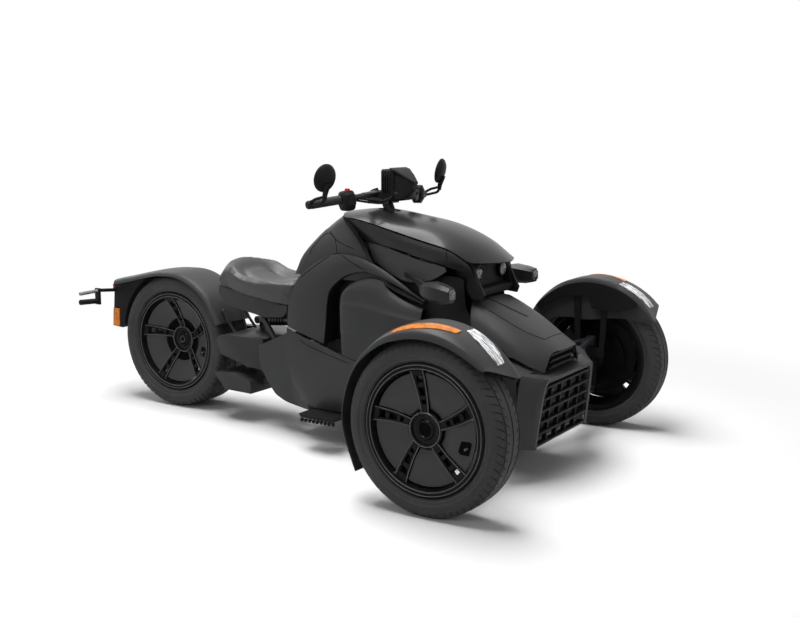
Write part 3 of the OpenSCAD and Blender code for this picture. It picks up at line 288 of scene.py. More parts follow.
for node, solid in frame["nodes"].items():
    finish_mesh(solid.data, slot_of[node])
print("finishes", len(paint))

# %% [markdown]
# Body panels are lofted shells with an even wall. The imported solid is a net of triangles, so each panel
# is copied, its loose triangles are joined back into quads, its rims are creased, and subdivision gives
# the smooth moulding.

# %% Smooth shells from the lofted solids
body_of_node = {n: b for b, nodes in frame["record"]["behaviour"]["bodies"].items() for n in nodes}


def link_piece(name, mesh, node, slot=None, finish=None):
    piece = bpy.data.objects.new(name, mesh)
    scene.collection.objects.link(piece)
    finish_mesh(mesh, finish or slot or slot_of[node])
    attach(piece, body_of_node[node])
    return piece


def replace_node(name, mesh, node, slot=None, finish=None):
    piece = link_piece(name, mesh, node, slot, finish)
    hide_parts(node)
    return piece


def evaluated_mesh(piece):
    depsgraph = bpy.context.evaluated_depsgraph_get()
    return bpy.data.meshes.new_from_object(piece.evaluated_get(depsgraph))


def taken_mesh(net):
    final = evaluated_mesh(net)
    bpy.data.objects.remove(net)
    return final


def welded(node):
    work = bmesh.new()
    work.from_mesh(frame["nodes"][node].data)
    bmesh.ops.remove_doubles(work, verts=work.verts, dist=0.00002)
    return work


def net_object(node, work):
    mesh = bpy.data.meshes.new(node + "_net")
    work.to_mesh(mesh)
    work.free()
    net = bpy.data.objects.new(node + "_net", mesh)
    scene.collection.objects.link(net)
    return net


def shell(node, crease_angle=38.0, levels=2):
    work = welded(node)
    limits = {"angle_face_threshold": math.radians(24), "angle_shape_threshold": 3.0}
    bmesh.ops.join_triangles(work, faces=work.faces, **limits)
    creases = work.edges.layers.float.new("crease_edge")
    for edge in work.edges:
        if edge.calc_face_angle(3.0) > math.radians(crease_angle):
            edge[creases] = 1.0
    net = net_object(node, work)
    smooth = net.modifiers.new("smooth", "SUBSURF")
    smooth.levels = smooth.render_levels = levels
    final = taken_mesh(net)
    final.shade_smooth()
    final.set_sharp_from_angle(angle=math.radians(crease_angle))
    return replace_node(node + "_shell", final, node)


lofted = [
    "hood", "hood_sides", "flanks", "tank_cover", "side_panels", "arch_panels", "sills", "rear_covers",
    "nose_cowl", "rear_fender", "fender_right", "fender_left",
]
shells = {node: shell(node) for node in lofted}
shells["fascia"] = shell("fascia", 30.0)
print("shells", len(shells))

# %% [markdown]
# The front end of each front fender is not cut square: its outer corner is swept back and its inner
# corner runs on. The points near the end are turned about the wheel's axle by an amount that grows
# towards the tip.

# %% Swept fender tips
def sweep_tip(node, axle, back=2.0, slant=5.5, span=30.0):
    mesh = shells[node].data
    places = np.array([v.co for v in mesh.vertices])
    away = places[:, [0, 2]] - (axle[0], axle[2])
    turn = np.degrees(np.arctan2(away[:, 1], away[:, 0]))
    reach = np.linalg.norm(away, axis=1)
    tip = turn[away[:, 0] > 0].min()
    share = np.clip((tip + span - turn) / span, 0.0, 1.0) ** 2 * (away[:, 0] > 0)
    outwards = np.clip((np.abs(places[:, 1]) - abs(axle[1])) / 0.075, -1.0, 1.0)
    turned_to = np.radians(turn + share * (back + slant * outwards))
    places[:, 0] = axle[0] + reach * np.cos(turned_to)
    places[:, 2] = axle[2] + reach * np.sin(turned_to)
    mesh.vertices.foreach_set("co", places.astype(np.float32).ravel())
    mesh.update()
    return round(float(tip), 1)


tips = [sweep_tip("fender_right", (0.9, -0.673, 0.29)), sweep_tip("fender_left", (0.9, 0.673, 0.29))]
print("fender tips at", tips)

# %% [markdown]
# Cast and moulded parts never have knife edges: a small radius on every edge is what catches the light.
# The other solids are copied, their flat faces are joined, and a Bevel rounds each edge by a millimetre
# or two.

# %% Eased edges on the hard solids
def eased(node, width, segments=2, angle=32.0):
    work = welded(node)
    flat = math.radians(1.0)
    bmesh.ops.dissolve_limit(work, angle_limit=flat, verts=work.verts, edges=work.edges, delimit={"NORMAL"})
    net = net_object(node, work)
    net.data.shade_smooth()
    ease = net.modifiers.new("ease", "BEVEL")
    ease.limit_method = "ANGLE"
    ease.angle_limit = math.radians(angle)
    ease.width = width
    ease.segments = segments
    ease.harden_normals = True
    return replace_node(node + "_eased", taken_mesh(net), node)


ease_widths = {
    "rim_right": 0.0015, "rim_left": 0.0015, "rim_rear": 0.0015, "grille": 0.0015, "headlamp_housing": 0.002,
    "seat_base": 0.006, "swingarm": 0.006, "exhaust": 0.006, "engine": 0.005, "foot_pegs": 0.003,
    "tail_bracket": 0.003, "inner_panels": 0.002,
}
hard = {node: eased(node, width) for node, width in ease_widths.items()}
finish_mesh(hard["grille"].data, "trim_black")
print("eased", {node: len(piece.data.polygons) for node, piece in hard.items()})

# %% [markdown]
# A tyre is a turned profile with a tread cut into it. The columns of the mesh lean with the slanted
# sipes, so that every sipe has clean lips with only five columns in each pitch of the pattern.

# %% Tyres with tread
def closed_mesh(name, points, faces, sharp=35.0):
    mesh = bpy.data.meshes.new(name)
    mesh.from_pydata([tuple(point) for point in points], [], faces)
    work = bmesh.new()
    work.from_mesh(mesh)
    bmesh.ops.remove_doubles(work, verts=work.verts, dist=0.00001)
    bmesh.ops.recalc_face_normals(work, faces=work.faces)
    work.to_mesh(mesh)
    work.free()
    mesh.shade_smooth()
    mesh.set_sharp_from_angle(angle=math.radians(sharp))
    return mesh


def ring_faces(rings, count, closed):
    faces = []
    for row in range(rings if closed else rings - 1):
        here, there = row * count, (row + 1) % rings * count
        pairs = [(k, (k + 1) % count) for k in range(count)]
        faces += [(here + k, here + after, there + after, there + k) for k, after in pairs]
    return faces


def tyre_profile(radius, width, rim_width):
    half = width / 2
    rim_half = rim_width / 2 - 0.0003
    flange = 0.2207
    groove = 0.3 * width
    tread = [
        (0.0, radius - 0.007, 0.0), (0.003, radius - 0.007, 0.0), (0.004, radius, 0.0),
        (0.16 * width, radius - 0.0005, 0.0), (0.165 * width, radius - 0.0005, 0.003),
        (groove - 0.006, radius - 0.0012, 0.003), (groove - 0.0055, radius - 0.0012, 0.0),
        (groove - 0.004, radius - 0.0015, 0.0), (groove - 0.003, radius - 0.007, 0.0),
        (groove + 0.003, radius - 0.007, 0.0), (groove + 0.004, radius - 0.0016, 0.0),
        (groove + 0.005, radius - 0.0018, 0.0), (groove + 0.0055, radius - 0.0019, 0.005),
        (half - 0.022, radius - 0.0045, 0.005), (half - 0.014, radius - 0.008, 0.005),
        (half - 0.0085, radius - 0.0125, 0.0045), (half - 0.005, radius - 0.018, 0.003),
        (half - 0.0035, radius - 0.022, 0.0),
    ]
    middle_r = flange + 0.45 * (radius - flange)
    wall = [
        (half - 0.0022, radius - 0.027, 0.0), (half - 0.0010, radius - 0.033, 0.0),
        (half - 0.0016, radius - 0.0335, 0.0), (half, middle_r, 0.0), (half - 0.001, middle_r - 0.006, 0.0),
        (half - 0.0018, middle_r - 0.0065, 0.0), (half - 0.005, flange + 0.016, 0.0),
        (half - 0.0042, flange + 0.0145, 0.0), (half - 0.0048, flange + 0.012, 0.0),
        (half - 0.0075, flange + 0.0075, 0.0), (rim_half + 0.002, flange + 0.0015, 0.0),
        (rim_half, flange + 0.001, 0.0), (rim_half, 0.2035, 0.0), (rim_half - 0.014, 0.2035, 0.0),
    ]
    inside = [
        (rim_half - 0.014, 0.2155, 0.0), (half - 0.014, flange + 0.4 * (radius - flange), 0.0),
        (half - 0.024, radius - 0.018, 0.0), (0.0, radius - 0.016, 0.0),
    ]
    return tread + wall + inside


def tread_mesh(name, loop, centre, pitches, columns, lean):
    points = []
    for pitch in range(pitches):
        for share, cut in columns:
            for y, r, depth in loop:
                turn = 2 * math.pi * (pitch + share + lean * abs(y)) / pitches
                reach = r - depth * cut
                points.append(centre + Vector((reach * math.cos(turn), y, reach * math.sin(turn))))
    return closed_mesh(name, points, ring_faces(pitches * len(columns), len(loop), True), 42.0)


sipe_columns = [(0.0, 0.0), (0.03, 1.0), (0.15, 1.0), (0.18, 0.0), (0.6, 0.0)]
sipe_lean = 26.0
tread_pitches = 66
wheels = {
    "right": (Vector((0.9, -0.673, 0.29)), 0.29, 0.145, 0.114),
    "left": (Vector((0.9, 0.673, 0.29)), 0.29, 0.145, 0.114),
    "rear": (Vector((-0.809, 0.0, 0.2955)), 0.2955, 0.205, 0.165),
}
for side, (centre, radius, width, rim_width) in wheels.items():
    near = tyre_profile(radius, width, rim_width)
    loop = near + [(-y, r, d) for y, r, d in reversed(near) if y > 0]
    tyre_name = "tyre_" + side
    mesh = tread_mesh(tyre_name + "_tread", loop, centre, tread_pitches, sipe_columns, sipe_lean)
    replace_node(tyre_name + "_tread", mesh, tyre_name)
print("tyre faces", len(mesh.polygons))

# %% [markdown]
# The seat is foam under one stretched cover: a scooped pan inside a raised horseshoe bolster. Its solid
# is remeshed, blown up a little by a cloth simulation so that the cover goes taut, and smoothed. The rim
# of the horseshoe and the hollow inside it are pressed in last.

# %% Padded seat
def inflated(node, voxel, pressure, most):
    foam = net_object(node, welded(node))
    remesh = foam.modifiers.new("remesh", "REMESH")
    remesh.mode = "VOXEL"
    remesh.voxel_size = voxel
    soften = foam.modifiers.new("soften", "SMOOTH")
    soften.factor, soften.iterations = 0.5, 12
    foam.data = evaluated_mesh(foam)
    foam.modifiers.clear()
    rest = np.array([v.co for v in foam.data.vertices])
    cloth = foam.modifiers.new("cover", "CLOTH")
    cloth.settings.use_pressure = True
    cloth.settings.uniform_pressure_force = pressure
    cloth.settings.tension_stiffness = cloth.settings.compression_stiffness = 25.0
    cloth.settings.effector_weights.gravity = 0.0
    for step in range(1, 21):
        scene.frame_set(step)
    blown = evaluated_mesh(foam)
    scene.frame_set(1)
    foam.modifiers.clear()
    moved = np.array([v.co for v in blown.vertices]) - rest
    length = np.maximum(np.linalg.norm(moved, axis=1, keepdims=True), 1e-9)
    moved *= np.minimum(1.0, most / length)
    foam.data.vertices.foreach_set("co", (rest + moved).astype(np.float32).ravel())
    return foam


seat_foam = inflated("seat", 0.006, 4.0, 0.006)
finer = seat_foam.modifiers.new("finer", "SUBSURF")
finer.levels = finer.render_levels = 1
seat_mesh = taken_mesh(seat_foam)


def press_horseshoe(mesh, middle_x=-0.3, back=0.212, half_width=0.178):
    places = np.array([v.co for v in mesh.vertices])
    upwards = np.clip(np.array([v.normal.z for v in mesh.vertices]) * 1.6, 0.0, 1.0)
    behind = np.clip((middle_x - places[:, 0]) / back, 0.0, None)
    across = np.abs(places[:, 1]) / half_width
    share = (behind ** 4 + across ** 4) ** 0.25
    fade = np.clip((-0.12 - places[:, 0]) / 0.09, 0.0, 1.0)
    rim = 0.008 * np.exp(-(((share - 0.80) / 0.09) ** 2))
    scoop = 0.016 * np.exp(-(((share - 0.53) / 0.12) ** 2))
    places[:, 2] += (rim - scoop) * upwards * fade
    mesh.vertices.foreach_set("co", places.astype(np.float32).ravel())
    mesh.update()


press_horseshoe(seat_mesh)
seat_mesh.shade_smooth()
seat_cover = replace_node("seat_cover", seat_mesh, "seat")
print("seat faces", len(seat_mesh.polygons))

# %% [markdown]
# Small fittings come in three kinds: turned, lofted through sections, or drawn along a line. A few short
# makers cover them, and each closes its own ends, so every mesh is a solid that could be printed. Points
# are given in millimetres with a side, so that one list serves the left and the right.

# %% Mesh makers
def at(x, y, z, side=1):
    return Vector((x, side * y, z)) / 1000


def loft(name, rings, sharp=35.0):
    count = len(rings[0])
    last = (len(rings) - 1) * count
    ends = [tuple(range(count))[::-1], tuple(range(last, last + count))]
    points = [point for ring in rings for point in ring]
    return closed_mesh(name, points, ring_faces(len(rings), count, False) + ends, sharp)


def turned(name, profile_mm, centre, axis, steps=48, closed=False):
    axis = Vector(axis).normalized()
    side = axis.orthogonal().normalized()
    up = axis.cross(side)
    turns = [2 * math.pi * k / steps for k in range(steps)]
    points = [
        Vector(centre) + axis * along / 1000 + (side * math.cos(turn) + up * math.sin(turn)) * radius / 1000
        for along, radius in profile_mm for turn in turns
    ]
    return closed_mesh(name, points, ring_faces(len(profile_mm), steps, closed))


def smooth_line(points, steps=6):
    knots = [Vector(point) for point in points]
    padded = [knots[0] * 2 - knots[1]] + knots + [knots[-1] * 2 - knots[-2]]
    line = []
    for a, b, c, d in zip(padded, padded[1:], padded[2:], padded[3:]):
        for t in (k / steps for k in range(steps)):
            cubic = (3 * b - a - 3 * c + d) * t ** 3
            line.append(0.5 * (2 * b + (c - a) * t + (2 * a - 5 * b + 4 * c - d) * t ** 2 + cubic))
    return line + [knots[-1]]


def swept(name, line, section_mm, up=(0, 0, 1), taper=None, sharp=35.0):
    rings = []
    for k, point in enumerate(line):
        ahead = (line[min(k + 1, len(line) - 1)] - line[max(k - 1, 0)]).normalized()
        side = ahead.cross(Vector(up)).normalized()
        lift = side.cross(ahead)
        grow = taper(k / (len(line) - 1)) if taper else 1.0
        rings.append([point + (side * u + lift * v) * grow / 1000 for u, v in section_mm])
    return loft(name, rings, sharp)


def round_section(radius, sides=12):
    turns = [2 * math.pi * k / sides for k in range(sides)]
    return [(radius * math.cos(turn), radius * math.sin(turn)) for turn in turns]


def cut_corner_section(half_u, low, high, cut):
    inner = half_u - cut
    return [
        (-inner, low), (inner, low), (half_u, low + cut), (half_u, high - cut),
        (inner, high), (-inner, high), (-half_u, high - cut), (-half_u, low + cut),
    ]


def joined(name, meshes):
    work = bmesh.new()
    for mesh in meshes:
        work.from_mesh(mesh)
    final = bpy.data.meshes.new(name)
    work.to_mesh(final)
    work.free()
    return final


def both(name, maker):
    return joined(name, [maker(side) for side in (-1, 1)])


def skin(name, rows, wall, inwards, sharp):
    width = len(rows[0])
    outer = [point for row in rows for point in row]
    inner = [point + Vector(inwards) * wall for point in outer]
    last, offset = len(rows) - 1, len(outer)
    faces = []
    for r in range(last):
        for c in range(width - 1):
            quad = (r * width + c, r * width + c + 1, (r + 1) * width + c + 1, (r + 1) * width + c)
            faces += [quad, tuple(offset + k for k in reversed(quad))]
    rim = list(range(width)) + [r * width + width - 1 for r in range(1, last + 1)]
    rim += [last * width + c for c in range(width - 2, -1, -1)] + [r * width for r in range(last - 1, 0, -1)]
    for a, b in zip(rim, rim[1:] + rim[:1]):
        faces.append((b, a, offset + a, offset + b))
    return closed_mesh(name, outer + inner, faces, sharp)


print("mesh makers ready")

# %% [markdown]
# Studs, bars, ribs and bolt heads repeat, so Geometry Nodes place them. One stud, a block that tapers,
# is set around a ring or along a row; the tree has named sizes, and its result is turned into a plain
# mesh at once.

# %% Rings and rows of studs
class RepeatTree(NodeSheet):
    def __init__(self, name):
        super().__init__(bpy.data.node_groups.new(name, "GeometryNodeTree"))
        self.tree.interface.new_socket("Geometry", in_out="OUTPUT", socket_type="NodeSocketGeometry")
        self.entry = self.tree.nodes.new("NodeGroupInput")
        self.keys = {}

    def size(self, name, kind):
        socket = self.tree.interface.new_socket(name, in_out="INPUT", socket_type="NodeSocket" + kind)
        self.keys[name] = socket.identifier
        return Value(self, self.entry.outputs[name])

    def stud(self):
        corners = self.size("Corners", "Int")
        taper = self.size("Taper", "Float")
        corner = math.sqrt(0.5)
        links = {"Vertices": corners, "Radius Top": taper * corner, "Radius Bottom": corner, "Depth": 1.0}
        cone = self.node("GeometryNodeMeshCone", None, links)
        eighth_turn = {"Geometry": cone, "Rotation": (0.0, 0.0, math.pi / 4)}
        square = self.node("GeometryNodeTransform", None, eighth_turn)
        sized = {"Geometry": square, "Scale": self.size("Stud", "Vector")}
        return self.node("GeometryNodeTransform", None, sized)

    def close(self, geometry):
        real = self.node("GeometryNodeRealizeInstances", None, {"Geometry": geometry})
        dressed = {"Geometry": real, "Material": self.size("Finish", "Material")}
        leave = self.tree.nodes.new("NodeGroupOutput")
        self.link(leave.inputs[0], self.node("GeometryNodeSetMaterial", None, dressed))
        return self

    def mesh(self, name, **sizes):
        host = bpy.data.objects.new(name, bpy.data.meshes.new(name))
        scene.collection.objects.link(host)
        grow = host.modifiers.new("grow", "NODES")
        grow.node_group = self.tree
        for key, value in sizes.items():
            grow[self.keys[key]] = value
        return taken_mesh(host)


def ring_tree():
    ring = RepeatTree("ring_of_studs")
    count = ring.size("Count", "Int")
    round_line = {"Vertices": count, "Radius": ring.size("Radius", "Float")}
    circle = ring.node("GeometryNodeMeshCircle", None, round_line)
    step = ring.node("ShaderNodeMath", {"operation": "DIVIDE"}, {0: 2 * math.pi, 1: count})
    facing = ring.node("ShaderNodeCombineXYZ", None, {"Z": ring.node("GeometryNodeInputIndex") * step})
    placed = {"Points": circle, "Instance": ring.stud(), "Rotation": facing}
    studs = ring.node("GeometryNodeInstanceOnPoints", None, placed)
    spun = ring.node("ShaderNodeCombineXYZ", None, {"Z": ring.size("Spin", "Float")})
    flat = ring.node("GeometryNodeTransform", None, {"Geometry": studs, "Rotation": spun})
    stood = ring.node("ShaderNodeCombineXYZ", None, {"X": ring.size("Tilt", "Float")})
    centred = {"Geometry": flat, "Rotation": stood, "Translation": ring.size("Centre", "Vector")}
    return ring.close(ring.node("GeometryNodeTransform", None, centred))


def row_tree():
    row = RepeatTree("row_of_studs")
    places = {"Count": row.size("Count", "Int"), "Start Location": row.size("Start", "Vector")}
    line = row.node("GeometryNodeMeshLine", None, {**places, "Offset": row.size("Step", "Vector")})
    placed = {"Points": line, "Instance": row.stud(), "Rotation": row.size("Lean", "Rotation")}
    return row.close(row.node("GeometryNodeInstanceOnPoints", None, placed))


stud_ring = ring_tree()
stud_row = row_tree()


def stud_line(count, start, step, stud, taper, lean=(0.0, 0.0, 0.0)):
    places = {"Count": count, "Start": start, "Step": step, "Lean": lean}
    return stud_row.mesh("studs", Corners=4, Taper=taper, Stud=stud, Finish=paint["trim_black"], **places)


print("repeat trees", stud_ring.tree.name, stud_row.tree.name)

# %% [markdown]
# Each wheel has a bolted hub ring, a double bead on its rim, cast bridges across the open spokes and a
# window for the valve in one of its inserts. The circlet on the hub, the beads and thin lips along the
# spoke edges are a lighter grey than the rim: a painted highlight along its edges. The rings are turned;
# the bridges come from the ring tree, which follows the lean of the spokes because each circle gets its
# own spin.

# %% Wheel fittings
hub_loop = [
    (-4, 54), (3, 54), (5, 51), (4, 48.5), (-2, 46), (-3, 37), (3, 33), (6, 30.5), (6, 24.5),
    (2, 21.5), (-4, 21.5),
]
hub_plug = [(-6, 0), (-6, 21.3), (2, 21.3), (2, 18), (0.5, 16), (0.5, 0)]
circlet = [(-4, 53.8), (5.5, 53.8), (6.5, 55), (6.5, 56.6), (5, 58), (-4, 58)]
bead_shape = [(5, -2), (9, -1.2), (9.6, 0), (9, 1.2), (5, 2)]
valve_stem = [(-3, 0), (-3, 4), (3, 4), (3.5, 3), (9, 3), (9.5, 4), (14, 4), (15, 2.5), (15, 0)]
wheel_faces = {"right": (-1, 57.0, 12.0), "left": (1, 57.0, 12.0), "rear": (-1, 82.5, 60.0)}
bridge_rows = [(104, 20, 15), (146, 24, 18), (180, 20, 12)]
insert_edge = 186
insert_drop = 3.0
valve_turn = math.radians(-14)
window_middle = 151
window_shape = [(130, -22), (140, -28), (170, -20), (171, 20), (163, 25), (132, 15)]
window_steps = [(-4.0, 1.0), (0.8, 1.0), (1.6, 0.97), (1.6, 0.9), (0.5, 0.86)]


def spoke_angle(reach, k):
    return math.radians(92 + 72 * k + 7 * (reach - 62) / 137)


def spoke_half(reach):
    return 15 + 10 * (reach - 62) / 137.2


def spoke_face(half, recess, reach):
    return half - recess + (recess - 5) * max(0.0, reach - 70) / 129.2


def on_wheel(centre, out, reach, turn, depth):
    return centre + Vector((reach * math.cos(turn), out * depth, reach * math.sin(turn))) / 1000


def bead_ring(centre, out, half, reach):
    loop = [(half + depth, reach + across) for depth, across in bead_shape]
    return turned("bead", loop, centre, (0, out, 0), 128, True)


def spoke_lip(centre, out, half, recess, k, hand):
    line = []
    for reach in range(58, 197, 6):
        turn = spoke_angle(reach, k) + hand * math.asin((spoke_half(reach) - 2.0) / reach)
        line.append(on_wheel(centre, out, reach, turn, spoke_face(half, recess, reach) + 1.0))
    return swept("lip", line, [(-1.8, -3), (1.8, -3), (1.3, 1.2), (-1.3, 1.2)], (0, out, 0))


def insert_panel(centre, out, half, recess, k, first):
    between = [first + (insert_edge - first) * j / 12 for j in range(1, 12)]
    reaches = [first, first + 1.5] + between + [insert_edge - 1.5, insert_edge]
    shares = [0.0, 0.015] + [j / 12 for j in range(1, 12)] + [0.985, 1.0]
    rows = []
    for j, reach in enumerate(reaches):
        off = math.asin((spoke_half(reach) + 0.8) / reach)
        start, end = spoke_angle(reach, k) + off, spoke_angle(reach, k + 1) - off
        dish = 5.0 * max(0.0, 1.0 - (reach - 62) / 36) ** 0.5
        row = []
        for i, share in enumerate(shares):
            border = i in (0, len(shares) - 1) or j in (0, len(reaches) - 1)
            depth = spoke_face(half, recess, reach) - insert_drop - dish - (1.5 if border else 0.0)
            row.append(on_wheel(centre, out, reach, start + (end - start) * share, depth))
        rows.append(row)
    return skin("insert", rows, 0.004, (0.0, -out, 0.0), 40.0)


def spoke_bridges(centre, out, half, recess, reach, across, along):
    depth = out * (spoke_face(half, recess, reach) - 9) / 1000
    place = {"Centre": centre + Vector((0, depth, 0)), "Tilt": -out * math.pi / 2}
    place["Spin"] = spoke_angle(reach, 0) if out < 0 else -spoke_angle(reach, 0)
    stud = (along / 1000, across / 1000, 0.008)
    sizes = {"Radius": reach / 1000, "Corners": 4, "Taper": 0.86, "Stud": stud}
    return stud_ring.mesh("bridges", Count=5, Finish=paint["rim_black"], **sizes, **place)


def valve_window(centre, out, half, recess):
    rings = []
    for height, grow in window_steps:
        ring = []
        for reach, across in window_shape:
            away, over = window_middle + (reach - window_middle) * grow, across * grow
            depth = spoke_face(half, recess, away) - insert_drop + height
            turn = valve_turn + math.atan2(over, away)
            ring.append(on_wheel(centre, out, math.hypot(away, over), turn, depth))
        rings.append(ring)
    return loft("window", rings)


for side, (centre, _, _, _) in wheels.items():
    out, half, recess = wheel_faces[side]
    axis = (0, out, 0)
    rim_node = "rim_" + side
    back = half - recess
    hub_face = centre + Vector((0, out * back / 1000, 0))
    link_piece("hub_" + side, turned("hub", hub_loop, hub_face, axis, 64, True), rim_node)
    # The bore of the hub is closed by a near-black plug: painted shade in the hole.
    link_piece("hub_plug_" + side, turned("plug", hub_plug, hub_face, axis), rim_node, None, "void_black")
    # The circlet, beads and spoke lips are a lighter grey than the gloss black rim: a painted highlight along
    # its edges.
    bright = [turned("circlet", circlet, hub_face, axis, 64, True)]
    bright += [bead_ring(centre, out, half, reach) for reach in (200.5, 213)]
    bright += [spoke_lip(centre, out, half, recess, k, hand) for k in range(5) for hand in (-1, 1)]
    link_piece("rim_highlight_pieces_" + side, joined("rim_highlight_pieces", bright), rim_node, None, "rim_edge")
    bridges = [spoke_bridges(centre, out, half, recess, *row) for row in bridge_rows]
    link_piece("spoke_bridges_" + side, joined("spoke_bridges", bridges), rim_node)
    first = 97.0 if side == "rear" else 67.0
    panels = joined("insert_panels", [insert_panel(centre, out, half, recess, k, first) for k in range(5)])
    replace_node("insert_panels_" + side, panels, "inserts_" + side)
    if side == "rear":
        face = spoke_face(half, recess, first)
        # A near-black ring fills the hollow between the rear hub and its inserts: painted shade.
        zone = [(back - 12, 60), (back - 9, 60), (face - 6, 99), (face - 10, 99)]
        zone_mesh = turned("zone", zone, centre, axis, 96, True)
        link_piece("hub_zone_rear", zone_mesh, rim_node, None, "void_black")
    else:
        bowl = [(back - 31, 66), (back - 28, 66)]
        bowl += [(half + depth, reach) for depth, reach in ((-28, 152), (-26, 158), (-30, 158), (-31, 152))]
        link_piece("wheel_bowl_" + side, turned("bowl", bowl, centre, axis, 96, True), rim_node, "trim_black")
    # The valve window is a near-black loft: painted shade in the opening.
    window = valve_window(centre, out, half, recess)
    link_piece("valve_window_" + side, window, rim_node, "trim_black", "void_black")
    base = on_wheel(centre, out, 158, valve_turn, spoke_face(half, recess, 158) - insert_drop)
    link_piece("valve_stem_" + side, turned("stem", valve_stem, base, axis, 16), rim_node, "steel_dark")
print("wheel fittings", len(panels.polygons))

# %% [markdown]
# The front has two faceted indicator pods on wing-like stalks and a pair of small round lamps deep in
# the housing. Pods are lofts of eight-sided sections, which keeps their flat facets; lenses are turned
# domes with a bezel round them.

# %% Pods and lamps
pod_sections = [
    (622, 299, 668, 12, 15), (646, 305, 667, 25, 29), (690, 314, 665, 32, 37), (738, 323, 661, 30, 33),
    (766, 328, 660, 25, 26),
]
stalk_sections = [
    [(488, 203, 712), (566, 209, 690), (566, 205, 676), (488, 199, 694)],
    [(560, 250, 702), (618, 262, 686), (618, 258, 668), (560, 246, 686)],
    [(624, 298, 690), (672, 308, 684), (672, 304, 648), (624, 294, 654)],
]
pod_lens_sections = [(760, 19), (768, 19), (772, 17), (774, 12)]
lamp_centre = (743, 95, 711)
bezel_loop = [(-6, 26), (2, 26), (5, 27.5), (5, 31), (1, 33), (-6, 33)]
lamp_dome = [(-8, 0), (-8, 25.5), (0, 25.5), (4, 23), (7, 17), (8.5, 9), (9, 0)]


def pod_and_stalk(side):
    rings = []
    for x, y, z, half_y, half_z in pod_sections:
        section = cut_corner_section(half_y, -half_z, half_z, 0.45 * half_y)
        rings.append([at(x, y + u, z + v, side) for u, v in section])
    stalk = [[at(*point, side) for point in ring] for ring in stalk_sections]
    return joined("pod", [loft("pod", rings, 20.0), loft("stalk", stalk, 20.0)])


def bezel(side):
    return turned("bezel", bezel_loop, at(*lamp_centre, side), (1, 0, 0), 48, True)


def lens_set(side):
    rings = []
    for x, half in pod_lens_sections:
        rings.append([at(x, 328 + u, 660 + v, side) for u, v in cut_corner_section(half, -half, half, 6)])
    dome = turned("dome", lamp_dome, at(*lamp_centre, side), (1, 0, 0))
    return joined("lenses", [dome, loft("pod_lens", rings)])


def lens_bars(side):
    return stud_line(4, at(772.5, 328, 646, side), (0.0, 0.0, 0.0095), (0.002, 0.033, 0.0025), 0.7)


replace_node("indicator_pods", both("indicator_pods", pod_and_stalk), "lamp_pods")
link_piece("headlamp_bezels", both("headlamp_bezels", bezel), "headlamp_housing", "rim_black")
lenses = replace_node("lamp_domes", both("lamp_domes", lens_set), "lamp_lenses", None, "led_glass")
link_piece("pod_lens_bars", both("pod_lens_bars", lens_bars), "lamp_pods", "trim_black")
print("front lamps", len(lenses.data.polygons))

# %% [markdown]
# A long black blade runs down each side between the tank and the nose, and the wheel-arch panel turns
# inwards along its edge. Both follow a line that was laid on the solids, so they are swept along a
# smooth curve.

# %% Blades and arch returns
blade_line = [
    (192, 168, 896), (264, 188, 838), (313, 204, 784), (360, 213, 722), (424, 217, 661), (500, 214, 628),
    (574, 208, 600),
]
blade_section = [(-9, -4), (-8, 2), (-3, 4), (5, 4), (9, -4)]
return_line = [
    (130, 222, 406), (140, 222, 490), (146, 222, 560), (160, 222, 616), (204, 222, 660), (254, 222, 688),
    (330, 222, 700), (418, 218, 676), (498, 210, 642), (576, 202, 603),
]
return_section = [(-1.5, -74), (1.5, -74), (2.5, -4), (1.5, 1), (-1.5, 1), (-2.5, -4)]


def side_line(points, side, steps=6):
    return smooth_line([at(*point, side) for point in points], steps)


def thin_ends(t):
    return 0.55 + 0.45 * min(1.0, 6 * t, 6 * (1.0 - t))


def blade(side):
    return swept("blade", side_line(blade_line, side), blade_section, (0.0, side, 0.3), thin_ends)


def arch_return(side):
    return swept("return", side_line(return_line, side), return_section, (0.0, side, 0.0))


link_piece("blades", both("blades", blade), "flanks", "rim_black")
link_piece("arch_returns", both("arch_returns", arch_return), "arch_panels", "trim_black")
print("blades and returns ready")

# %% [markdown]
# The engine cover is one moulding: a rounded top, a shelf that runs forwards, a swelling face and a seam
# low down. Its rows are drawn as lines over the length, skinned, and given a wall.

